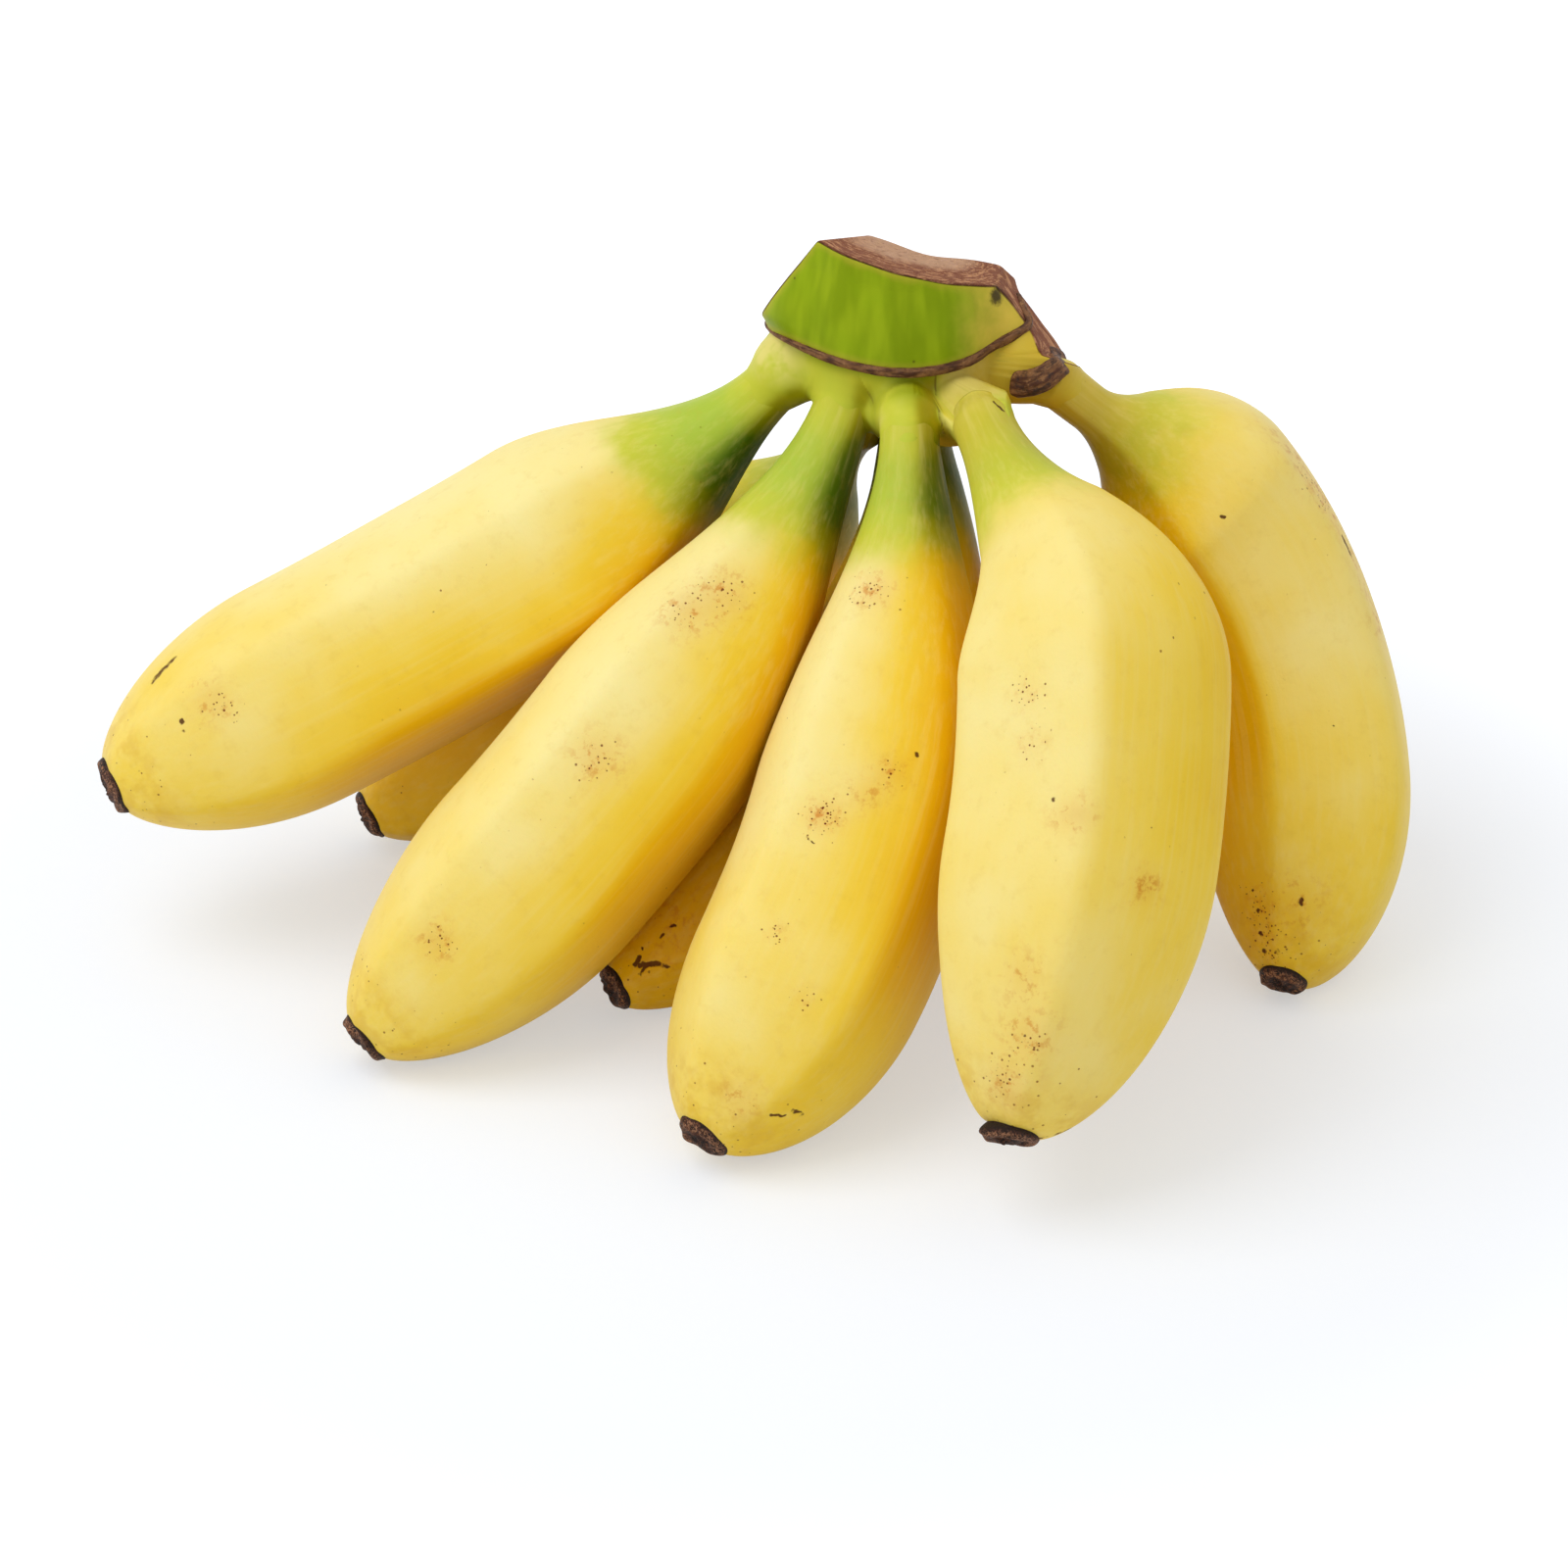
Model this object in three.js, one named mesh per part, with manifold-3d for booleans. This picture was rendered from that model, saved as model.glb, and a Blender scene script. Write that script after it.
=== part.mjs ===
// A hand of baby bananas, lying as it was put down: a front row and a back row
// of short plump fruits that hang from one trimmed crown.
//
// Millimetres, +Z up. The origin is on the surface the hand lies on, under the
// middle of its bounding box. +X runs along the row, -Y is the front of the hand.

import * as THREE from 'three';
import { ConvexGeometry } from 'three/addons/geometries/ConvexGeometry.js';
import { mergeVertices } from 'three/addons/utils/BufferGeometryUtils.js';
import Module from 'manifold-3d';

const wasm = await Module();
wasm.setup();

// ---------------------------------------------------------------- dimensions

const GAP = 0.3; // air between the crown and each stalk end
const TIP_RADIUS = 3.5; // dried flower scar at the end of a fruit
const SWELL_POWER = 2; // how square the blunt end of a fruit is
const ROUND_POWER = 1.4; // how round the last few millimetres are
const NECK_SHARE = 0.3; // share of the body that takes the first body bend
const RIDGES = 5; // a banana has a rounded five-sided section
const RIDGE_HEIGHT = 0.02; // ridge height as a share of the radius
const SIDES = 20;
const STATIONS = 23;

// Each fruit starts at its root on the crown and points away along an azimuth
// (0 is the front, 90 is +X) and a dip below the horizontal. It bends in one
// plane, turned about its axis by turn: first the stalk, then the neck, then
// the body, each along an arc. Lengths are along the centre line. The stalk
// swells into the body over rise, which begins lead before the stalk ends, and
// the end of the body tapers over taper. A pull draws the root back into the
// crown, dying out along the stalk over pullLength.
const FRUITS = {
  banana_front_1: {
    root: [3.5, 30.5, 80.8], azimuth: -99, dip: 50, turn: 43, bends: [12, 17, 12],
    stalk: 17, body: 97.5, radius: 16.5, stalkRadius: 3.9, rise: 42, lead: 15, taper: 30,
    ridgeTurn: 68,
  },
  banana_front_2: {
    root: [13, 26, 81.6], azimuth: -30, dip: 54, turn: 151, bends: [11, 7, 14],
    stalk: 17.5, body: 98, radius: 16, stalkRadius: 3.9, rise: 58, lead: 17, taper: 35,
    ridgeTurn: 53,
  },
  banana_front_3: {
    root: [20.5, 15.5, 84], azimuth: 10, dip: 60, turn: 162, bends: [8, 8, 31],
    stalk: 15, body: 94, radius: 16, stalkRadius: 3.6, rise: 56, lead: 15, taper: 27,
    ridgeTurn: 21, pull: [0, 2.6, -1.5], pullLength: 11,
  },
  banana_front_4: {
    root: [29.5, 12, 87.4], azimuth: 18, dip: 38, turn: -142, bends: [-18, 35, 22],
    stalk: 24, body: 85, radius: 17.75, stalkRadius: 4.2, rise: 42, lead: 18, taper: 37,
    ridgeTurn: 44, pull: [0, 7.4, -4.3], pullLength: 18,
  },
  banana_front_5: {
    root: [40, 24.5, 84], azimuth: 100, dip: 45, turn: -136, bends: [-9, 35, 62],
    stalk: 18, body: 89.5, radius: 15.5, stalkRadius: 3.4, rise: 24, lead: 9, taper: 30,
    ridgeTurn: 28,
  },
  banana_back_1: {
    root: [14, 39.5, 69.6], azimuth: -133, dip: 59, turn: 11, bends: [-2, 40, 21],
    stalk: 16, body: 87.5, radius: 16.25, stalkRadius: 3.7, rise: 33, lead: 10, taper: 45,
    ridgeTurn: 0,
  },
  banana_back_2: {
    root: [22, 42, 77], azimuth: -1, dip: 64, turn: 157, bends: [-4, 24, 45],
    stalk: 16, body: 91, radius: 14.5, stalkRadius: 4.1, rise: 52, lead: 15, taper: 60,
    ridgeTurn: 15,
  },
  banana_back_3: {
    root: [29.5, 36.5, 78], azimuth: 30, dip: 60, turn: 164, bends: [-15, 15, 37],
    stalk: 16, body: 76, radius: 16, stalkRadius: 3.7, rise: 59, lead: 5, taper: 39,
    ridgeTurn: 30,
  },
};

// The crown is the stump of the bunch's main stem: a leaning round face at the
// front, and knife cuts on its top, its sides, its back and its underside.
const CROWN_AXIS = [19.2, 36.6]; // x, y of the round face's axis
const CROWN_BASE = 87.7; // height of the scar under the face
const CROWN_RADIUS = 18.1; // of the face at that height
const CROWN_LEAN = 0.2; // how much smaller the radius gets per mm above and below that height
const CROWN_STEP = 0.8; // how far the stump steps in just under the scar
const CROWN_SIDES = 44;
const CROWN_SPAN = [62, 110]; // heights that the uncut stump covers
const CUTS = [ // a point on each cut and the way it faces
  { point: [22.4, 21.2, 99.7], facing: [0.264, 0.1, 0.955] }, // top
  { point: [7.8, 26.7, 102.8], facing: [-0.72, 0.41, 0.56] }, // left
  { point: [7.8, 26.7, 102.8], facing: [-0.51, 0.647, 0.567] }, // left back
  { point: [36.9, 34, 91], facing: [0.8, 0, 0.6] }, // right
  { point: [14.6, 35.3, 100.2], facing: [0.11, 0.8, 0.6] }, // back
  { point: [19, 19, 83.7], facing: [0, -0.4, -1] }, // underside
];
const CROWN_HEART = [19, 32, 85]; // the flesh fans out from here to the stalks
const COLLAR_DEPTH = 0.6; // a collar starts this share of the way to the heart
const COLLAR_AHEAD = 3; // and carries the stalk this far past its root
const COLLAR_FLARE = 3; // wider than the stalk at its inner end
const COLLAR_LIP = 0.5; // wider than the stalk at its outer end
const COLLAR_SIDES = 14;
const SCAR_RADIUS = 1.4; // half thickness of the dry scar round the face
const SCAR_SWEEP = [-84, 73]; // azimuths that the scar runs between
const HOOK_RADIUS = 1.9; // half thickness of the dried flap on the right
const HOOK_PATH = [[40.2, 30.5, 86.5], [41.6, 26, 85.4], [40, 24, 83.6], [36.6, 23.6, 83]];

// ----------------------------------------------------------------- materials

const finish = (color, roughness) => new THREE.MeshStandardMaterial({ color, roughness, metalness: 0 });
const peel = () => finish(0xf0cd50, 0.42);
const crownSkin = () => finish(0x86aa1e, 0.5);

// --------------------------------------------------------------------- tools

const radians = THREE.MathUtils.degToRad;
const smooth = (t) => THREE.MathUtils.smoothstep(t, 0, 1);

// A closed geometry as a solid that can be joined and cut.
function solid(geometry) {
  const bare = geometry.clone();
  bare.deleteAttribute('normal');
  bare.deleteAttribute('uv');
  const merged = mergeVertices(bare, 1e-4);
  const index = Array.from(merged.index.array);
  const kept = [];
  for (let i = 0; i < index.length; i += 3) {
    const [a, b, c] = index.slice(i, i + 3);
    if (a !== b && b !== c && c !== a) kept.push(a, b, c);
  }
  return new wasm.Manifold(new wasm.Mesh({
    numProp: 3,
    vertProperties: new Float32Array(merged.attributes.position.array),
    triVerts: new Uint32Array(kept),
  }));
}

// The solid's faces as a geometry again.
function geometryOf(body) {
  const mesh = body.getMesh();
  const geometry = new THREE.BufferGeometry();
  geometry.setAttribute('position', new THREE.BufferAttribute(new Float32Array(mesh.vertProperties), 3));
  geometry.setIndex(new THREE.BufferAttribute(new Uint32Array(mesh.triVerts), 1));
  geometry.computeVertexNormals();
  return geometry;
}

// A rod with a many-sided section along a path through some points.
function rod(points, radius, sides, steps) {
  const section = new THREE.Shape();
  for (let i = 0; i < sides; i += 1) {
    const angle = (2 * Math.PI * i) / sides;
    const method = i === 0 ? 'moveTo' : 'lineTo';
    section[method](radius * Math.cos(angle), radius * Math.sin(angle));
  }
  const extrudePath = new THREE.CatmullRomCurve3(points.map((p) => new THREE.Vector3(...p)));
  return new THREE.ExtrudeGeometry(section, { extrudePath, steps });
}

// A closed mesh whose faces point inwards is turned inside out.
function outward(body, geometry) {
  if (body.volume() > 0) return body;
  const index = geometry.index.array;
  for (let i = 0; i < index.length; i += 3) {
    [index[i], index[i + 1]] = [index[i + 1], index[i]];
  }
  return solid(geometry);
}

// -------------------------------------------------------------------- fruits

// Axes of a fruit at its root: ahead along the fruit, and the way it bends.
function rootAxes({ azimuth, dip, turn }) {
  const [az, down, roll] = [radians(azimuth), radians(dip), radians(turn)];
  const ahead = new THREE.Vector3(
    Math.sin(az) * Math.cos(down), -Math.cos(az) * Math.cos(down), -Math.sin(down));
  const level = new THREE.Vector3(0, 0, 1).cross(ahead).normalize();
  const above = ahead.clone().cross(level);
  const bendWay = level.multiplyScalar(Math.cos(roll)).addScaledVector(above, Math.sin(roll));
  return { ahead, bendWay };
}

// Centre line of a fruit at distance s: position and heading, along three arcs.
function centreAt(fruit, s) {
  const { ahead, bendWay } = rootAxes(fruit);
  const lengths = [fruit.stalk, NECK_SHARE * fruit.body, (1 - NECK_SHARE) * fruit.body];
  const position = new THREE.Vector3(...fruit.root);
  let angle = 0;
  let left = s;
  lengths.forEach((length, i) => {
    const run = Math.min(Math.max(left, 0), length);
    const curvature = radians(fruit.bends[i]) / length;
    const next = angle + curvature * run;
    position.addScaledVector(ahead, (Math.sin(next) - Math.sin(angle)) / curvature);
    position.addScaledVector(bendWay, (Math.cos(angle) - Math.cos(next)) / curvature);
    angle = next;
    left -= length;
  });
  const heading = ahead.clone().multiplyScalar(Math.cos(angle)).addScaledVector(bendWay, Math.sin(angle));
  if (fruit.pull) {
    const pull = new THREE.Vector3(...fruit.pull);
    const remaining = Math.max(1 - s / fruit.pullLength, 0);
    position.addScaledVector(pull, remaining ** 2);
    heading.addScaledVector(pull, (-2 * remaining) / fruit.pullLength).normalize();
  }
  return { position, heading };
}

// Radius of a fruit at distance s, and how much of it is body there (0 to 1).
function girthAt(fruit, s) {
  const swell = smooth((s - fruit.stalk + fruit.lead) / fruit.rise);
  const toEnd = THREE.MathUtils.clamp((fruit.stalk + fruit.body - s) / fruit.taper, 0, 1);
  const blunt = (1 - (1 - toEnd) ** SWELL_POWER) ** (1 / ROUND_POWER);
  const full = TIP_RADIUS + (fruit.radius - TIP_RADIUS) * blunt;
  return { radius: fruit.stalkRadius * (1 - swell) + full * swell, swell };
}

// A fruit, from the end of its collar: a turned profile bent along the centre
// line, with five soft ridges.
function fruitSolid(fruit) {
  const length = fruit.stalk + fruit.body;
  const start = COLLAR_AHEAD + GAP;
  const profile = [new THREE.Vector2(0, start)];
  for (let i = 0; i < STATIONS; i += 1) {
    const share = (1 - Math.cos((Math.PI * i) / (STATIONS - 1))) / 2;
    const s = start + (length - start) * share;
    profile.push(new THREE.Vector2(girthAt(fruit, s).radius, s));
  }
  profile.push(new THREE.Vector2(0, length));
  const geometry = new THREE.LatheGeometry(profile, SIDES);
  const { ahead, bendWay } = rootAxes(fruit);
  const across = ahead.clone().cross(bendWay);
  const place = geometry.attributes.position;
  for (let i = 0; i < place.count; i += 1) {
    const [x, s, z] = [place.getX(i), place.getY(i), place.getZ(i)];
    const { position, heading } = centreAt(fruit, s);
    const outwards = across.clone().cross(heading).normalize();
    const sideways = heading.clone().cross(outwards);
    const angle = Math.atan2(z, x);
    const ridge = Math.cos(RIDGES * angle + radians(RIDGES * fruit.ridgeTurn));
    const scale = 1 + RIDGE_HEIGHT * girthAt(fruit, s).swell * ridge;
    position.addScaledVector(outwards, x * scale).addScaledVector(sideways, z * scale);
    place.setXYZ(i, position.x, position.y, position.z);
  }
  return outward(solid(geometry), geometry);
}

// --------------------------------------------------------------------- crown

// Everything on the far side of a plane, as a large box.
function beyond({ point, facing }, grow) {
  const size = 200;
  const way = new THREE.Vector3(...facing).normalize();
  const box = new THREE.BoxGeometry(size, size, size);
  box.applyQuaternion(new THREE.Quaternion().setFromUnitVectors(new THREE.Vector3(0, 0, 1), way));
  const middle = new THREE.Vector3(...point).addScaledVector(way, size / 2 + grow);
  box.translate(middle.x, middle.y, middle.z);
  return solid(box);
}

// The stump: a round block that narrows above and below the scar, cut by the
// knife planes.
function stump(grow) {
  const [low, high] = CROWN_SPAN;
  const radius = CROWN_RADIUS + grow;
  const profile = [
    [0, low], [radius - CROWN_STEP - CROWN_LEAN * (CROWN_BASE - low), low],
    [radius - CROWN_STEP, CROWN_BASE], [radius, CROWN_BASE],
    [radius - CROWN_LEAN * (high - CROWN_BASE), high], [0, high],
  ];
  const block = new THREE.LatheGeometry(profile.map((p) => new THREE.Vector2(...p)), CROWN_SIDES);
  block.rotateX(Math.PI / 2);
  block.translate(CROWN_AXIS[0], CROWN_AXIS[1], 0);
  return CUTS.reduce((body, cut) => body.subtract(beyond(cut, grow)), solid(block));
}

// Points on a circle about a centre, square to a direction.
function circle(centre, way, radius) {
  const turn = new THREE.Quaternion().setFromUnitVectors(new THREE.Vector3(0, 0, 1), way);
  return Array.from({ length: COLLAR_SIDES }, (_, i) => {
    const angle = (2 * Math.PI * i) / COLLAR_SIDES;
    return new THREE.Vector3(radius * Math.cos(angle), radius * Math.sin(angle), 0)
      .applyQuaternion(turn).add(centre);
  });
}

// The flesh that carries one stalk out of the stump: the hull of a wide circle
// near the heart of the crown and a narrow one just past the stalk's root.
function collar(fruit, grow) {
  const root = centreAt(fruit, 0).position;
  const inner = root.clone().lerp(new THREE.Vector3(...CROWN_HEART), COLLAR_DEPTH);
  const { position: outer, heading: ahead } = centreAt(fruit, COLLAR_AHEAD + grow);
  const away = root.clone().sub(inner).normalize();
  return solid(new ConvexGeometry([
    ...circle(inner.addScaledVector(away, -grow), away, fruit.stalkRadius + COLLAR_FLARE + grow),
    ...circle(outer, ahead, fruit.stalkRadius + COLLAR_LIP + grow),
  ]));
}

// The dry scar that runs round the foot of the face.
function scar(grow) {
  const points = [];
  const [from, to] = SCAR_SWEEP;
  for (let i = 0; i <= 8; i += 1) {
    const az = radians(from + ((to - from) * i) / 8);
    points.push([
      CROWN_AXIS[0] + CROWN_RADIUS * Math.sin(az), CROWN_AXIS[1] - CROWN_RADIUS * Math.cos(az), CROWN_BASE]);
  }
  return solid(rod(points, SCAR_RADIUS + grow, 6, 20));
}

// The whole crown, or with grow above 0 the room that it needs.
function crownSolid(grow) {
  const hook = solid(rod(HOOK_PATH, HOOK_RADIUS + grow, 8, 14));
  const collars = Object.values(FRUITS).map((fruit) => collar(fruit, grow));
  return [scar(grow), hook, ...collars].reduce((body, piece) => body.add(piece), stump(grow));
}

// --------------------------------------------------------------------- scene

const hand = new THREE.Group();

function place(name, body, material) {
  const mesh = new THREE.Mesh(geometryOf(body), material);
  mesh.name = name;
  hand.add(mesh);
}

const room = crownSolid(GAP);
place('crown', crownSolid(0), crownSkin());
Object.entries(FRUITS).forEach(([name, fruit]) => {
  place(name, fruitSolid(fruit).subtract(room), peel());
});

export default hand;
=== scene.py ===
"""The looks of a hand of baby bananas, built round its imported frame.

Lengths in the tables are in millimetres and angles in degrees, in the part's own frame: x to the
right of the hand, y to its back, z up from the surface that it lies on. Meshes are in metres.
"""

import math

import bpy
import numpy as np
from bpy.props import (
    CollectionProperty,
    FloatProperty,
    FloatVectorProperty,
    PointerProperty,
)
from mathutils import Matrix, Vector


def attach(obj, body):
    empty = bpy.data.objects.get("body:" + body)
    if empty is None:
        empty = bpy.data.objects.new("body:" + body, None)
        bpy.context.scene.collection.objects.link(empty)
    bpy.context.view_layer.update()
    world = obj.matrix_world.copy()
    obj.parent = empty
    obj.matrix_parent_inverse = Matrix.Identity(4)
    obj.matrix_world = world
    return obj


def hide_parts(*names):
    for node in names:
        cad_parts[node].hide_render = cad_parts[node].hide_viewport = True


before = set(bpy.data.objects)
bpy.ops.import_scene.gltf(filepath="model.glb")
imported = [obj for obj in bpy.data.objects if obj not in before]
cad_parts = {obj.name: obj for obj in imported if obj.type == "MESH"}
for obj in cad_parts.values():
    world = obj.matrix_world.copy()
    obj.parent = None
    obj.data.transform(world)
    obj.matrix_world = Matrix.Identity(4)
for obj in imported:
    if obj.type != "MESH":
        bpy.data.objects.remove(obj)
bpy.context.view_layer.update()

bl_info = {
    "name": "Hand of baby bananas",
    "version": (1, 0, 0),
    "blender": (4, 5, 0),
    "location": "View3D > Sidebar > Bananas",
    "description": "Builds the peels, tips and crown of a hand of baby bananas",
    "category": "Object",
}

MM = 0.001

# One row for each banana: where its stalk leaves the crown, which way it points, which way and how
# far its three arcs bend (the stalk, the first 30 % of the body, the rest), its sizes, its ripeness
# and the painted light and shade of its peel: how strong it is, how much of it the shaded side keeps,
# and the way that the painted light comes from.
FRUITS = {
    "banana_front_1": dict(
        root=(3.5, 30.5, 80.8), azimuth=-99, dip=50, turn=43, bends=(12, 17, 12),
        stalk=17, body=97.5, radius=16.5, stalk_radius=3.9, rise=42, lead=15, taper=30,
        ridge_turn=68, green=1.0, green_end=26, fair=1.0,
    ),
    "banana_front_2": dict(
        root=(13, 26, 81.6), azimuth=-30, dip=54, turn=151, bends=(11, 7, 14),
        stalk=17.5, body=98, radius=16, stalk_radius=3.9, rise=58, lead=17, taper=35,
        ridge_turn=53, green=0.95, green_end=27, fair=1.0, scar=0.92,
    ),
    "banana_front_3": dict(
        root=(20.5, 15.5, 84), azimuth=10, dip=60, turn=162, bends=(8, 8, 31),
        pull=(0, 2.6, -1.5), pull_length=11,
        stalk=15, body=94, radius=16, stalk_radius=3.6, rise=56, lead=15, taper=27,
        ridge_turn=21, green=0.9, green_end=24, fair=1.0, sun=(-0.9, -0.35, 0.35), scar=0.9,
    ),
    "banana_front_4": dict(
        root=(29.5, 12, 87.4), azimuth=18, dip=38, turn=-142, bends=(-18, 35, 22),
        pull=(0, 7.4, -4.3), pull_length=18,
        stalk=24, body=85, radius=17.75, stalk_radius=4.2, rise=42, lead=18, taper=37,
        ridge_turn=44, green=0.68, green_end=25, fair=0.92, shade_fair=0.57,
    ),
    "banana_front_5": dict(
        root=(40, 24.5, 84), azimuth=100, dip=45, turn=-136, bends=(-9, 35, 62),
        stalk=18, body=89.5, radius=15.5, stalk_radius=3.4, rise=24, lead=9, taper=30,
        ridge_turn=28, green=0.48, green_end=25, fair=0.85, sun=(0.6, -0.4, 0.7), scar=0.8,
    ),
    "banana_back_1": dict(
        root=(14, 39.5, 69.6), azimuth=-133, dip=59, turn=11, bends=(-2, 40, 21),
        stalk=16, body=87.5, radius=16.25, stalk_radius=3.7, rise=33, lead=10, taper=45,
        ridge_turn=0, green=0.8, green_end=26, fair=0.62, scar=0.88,
    ),
    "banana_back_2": dict(
        root=(22, 42, 77), azimuth=-1, dip=64, turn=157, bends=(-4, 24, 45),
        stalk=16, body=91, radius=14.5, stalk_radius=4.1, rise=52, lead=15, taper=60,
        ridge_turn=15, green=0.8, green_end=28, fair=0.1, scar=0.8,
    ),
    "banana_back_3": dict(
        root=(29.5, 36.5, 78), azimuth=30, dip=60, turn=164, bends=(-15, 15, 37),
        stalk=16, body=76, radius=16, stalk_radius=3.7, rise=59, lead=5, taper=39,
        ridge_turn=30, green=0.8, green_end=28, fair=0.3, scar=0.9,
    ),
}

TIP_RADIUS = 3.5
SWELL_POWER = 2
ROUND_POWER = 1.4
NECK_SHARE = 0.3
RIDGES = 5
SECTION_POWER = 16
# How unevenly the flats between the ridges are turned and set, how sharp the ridges are on the stalk
# and how much sharper on the body, and how high the body's uneven swellings are.
FLAT_TURN = 0.07
FLAT_REACH = (0.97, 1.03)
STALK_SHARPNESS, BODY_SHARPNESS = 0.16, 0.32
SWELLINGS = 0.012

CROWN_AXIS = (19.2, 36.6)
CROWN_BASE = 87.7
CROWN_RADIUS = 18.1
CROWN_LEAN = 0.2
CROWN_HEART = (20, 30, 84)
RIB_COUNT = 13
# The shallow hollow across the cut at the back: its middle, its width and its depth.
HOLLOW = (23.5, 5, 2.2)
# The flat cuts that a knife left on the crown: a point on each one and the way it faces.
CUTS = {
    "top": ((22.4, 21.2, 99.7), (0.264, 0.1, 0.955)),
    "left": ((7.8, 26.7, 102.8), (-0.72, 0.41, 0.56)),
    "left_back": ((7.8, 26.7, 102.8), (-0.51, 0.647, 0.567)),
    "right": ((36.9, 34, 91), (0.8, 0, 0.6)),
    "back": ((14.6, 35.3, 100.2), (0.11, 0.8, 0.6)),
}
CORNER = (33.4, 25.9, 95)
UNDERSIDE = ((19, 19, 83.7), (0, -0.4, -1))
# Height of the ridge under the crown's face at angles round it.
RIDGE_TURNS = (-84, -46, -20, 0, 24, 44, 58, 78)
RIDGE_HEIGHTS = (87.4, 88.1, 87.6, 87.0, 87.0, 88.0, 89.8, 92.0)
# The thick beginnings of the stalks inside the crown: points and radii before the stalk's own line,
# how much wider than the stalk the flesh is there, and where the peel begins.
BASES = {
    "banana_front_1": (((10, 32.5, 83, 5),), 0.9, -1),
    "banana_front_2": (((17, 28, 80, 5),), 0.3, -1),
    "banana_front_3": (((20, 24, 77.5, 4.5),), 0, 2),
    "banana_front_4": (((26.5, 28, 75.5, 4.5),), 0.2, 3),
    "banana_front_5": (((28, 31, 81.5, 6), (34, 30, 82.6, 5.6)), 0.8, 0),
    "banana_back_1": (((18, 33, 80, 6), (15, 38, 74, 4.8)), 0.8, 0),
    "banana_back_2": (((20, 34, 82, 6),), 0.7, -2),
    "banana_back_3": (((24, 33, 82, 6),), 0.8, -2),
}
# The flesh behind the crown's right end: rods with their radii.
SHOULDER = ((29, 31, 91, 5.7), (34.5, 31.2, 87.5, 5.2), (38.5, 30.2, 83.5, 5.4))
# How softly the rods of one stalk, the shoulder's, two stalks, and the stalks and the crown run
# together, and how round the edges of the underside and the cuts are.
ROD_JOIN, SHOULDER_JOIN, STALK_JOIN, CROWN_JOIN = 0.3, 2, 2.6, 3
UNDER_EDGE, CUT_EDGE = 2.5, 0.4
# The dried flap at the right end: the points of its middle line, its half widths and half depths
# there, and the way it faces.
FLAP_PATH = (
    (41.5, 24, 88.3), (41.9, 24, 86.5), (41, 24, 84), (39, 24, 82.5), (36.8, 24, 82), (35.2, 24, 82.2),
)
FLAP_WIDTHS = (1.3, 1.5, 1.7, 1.85, 1.9, 1.8)
FLAP_DEPTHS = (0.5, 0.6, 0.8, 0.9, 0.9, 0.8)
FLAP_FACINGS = ((0.5, -0.5, 0.7),) * 2 + ((0.3, -0.7, 0.6),) + ((0, -0.85, 0.5),) * 3
# The ridge under the face: its first and last angle and how many points it has between them, a
# distance that is surely outside the crown, and its half width at places across the hand.
RIDGE_SPAN = (-84, 80, 20)
RIDGE_OUTSIDE = 24.0
RIDGE_PLACES = (1, 4, 10, 20, 34, 39)
RIDGE_WIDTHS = (0.25, 0.4, 0.62, 0.7, 0.72, 0.6)
RIDGE_DEPTH = 0.55
# How rough the two are, and how far the flap lies off the crown.
RIDGE_ROUGH, FLAP_ROUGH = 0.12, 0.07
FLAP_LIFT = 0.2

# How a tip's scar is tilted away from the banana's own heading.
SCAR_TILTS = {"banana_front_4": (0, -0.5, 0.3), "banana_front_5": (0, 0, -0.1)}
SCRATCH_WOBBLE = 0.0005
# The scar's outline from under its edge to its middle: distances outwards and upwards.
SCAR_PROFILE = (
    (2.4, -2.8), (3.7, -1.7), (4.2, -1.0), (4.4, -0.5), (4.35, -0.1), (4.1, 0.3), (3.8, 0.65),
    (3.3, 0.9), (2.8, 0.95), (2.3, 0.9), (1.9, 0.95), (1.4, 1.1), (1.0, 1.15), (0.5, 1.1), (0.2, 1.05),
)

# How many points each surface has along it and round it.
PEEL_GRID = (230, 96)
SCAR_GRID = (44, 96)
CROWN_GRID = (220, 400)
RIDGE_GRID = (420, 28)
FLAP_GRID = (260, 64)
# Where the random draws of the surfaces start.
PEEL_SEED, SCAR_SEED, RIDGE_SEED, FLAP_SEED = 100, 300, 11, 23

LENS = 118.125
LENS_SENSOR = 36
LENS_NEAR = 0.01
FLOOR_REACH = 3.0
FLOOR_LIT, FLOOR_SEEN = (0.8, 0.8, 0.8), (0.52, 0.55, 0.6)
# The floor's own white glow under the hand and away from it, and between which distances it grows.
GLOW_NEAR, GLOW_FAR = (0.47, 0.47, 0.47), (0.72, 0.72, 0.72)
GLOW_SPAN = (0.11, 0.2)
KEY_SIZE = 0.6
KEY_PLACE = (-0.4, -0.15, 0.8)
KEY_TARGET = (0.0, 0.0, 0.04)


def paint(red, green, blue):
    """The linear colour of an everyday 0 to 255 colour, with the standard display curve undone."""
    shares = [level / 255 for level in (red, green, blue)]
    return tuple(s / 12.92 if s <= 0.04045 else ((s + 0.055) / 1.055) ** 2.4 for s in shares)


# ---- sizes and colours


def length_of(name, says, default):
    """A length of the hand, in metres."""
    return FloatProperty(name=name, description=says, default=default, unit="LENGTH")


def angle_of(name, says, default):
    """An angle of the hand, in radians."""
    return FloatProperty(name=name, description=says, default=default, unit="ROTATION")


def share_of(name, says, default, least=0):
    """A share of one."""
    return FloatProperty(
        name=name, description=says, default=default, min=least, max=1, subtype="FACTOR",
    )


def place_of(name, says, default):
    """A place or a move in the part's frame, in metres."""
    return FloatVectorProperty(
        name=name, description=says, default=default, size=3, subtype="TRANSLATION", unit="LENGTH",
    )


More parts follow.
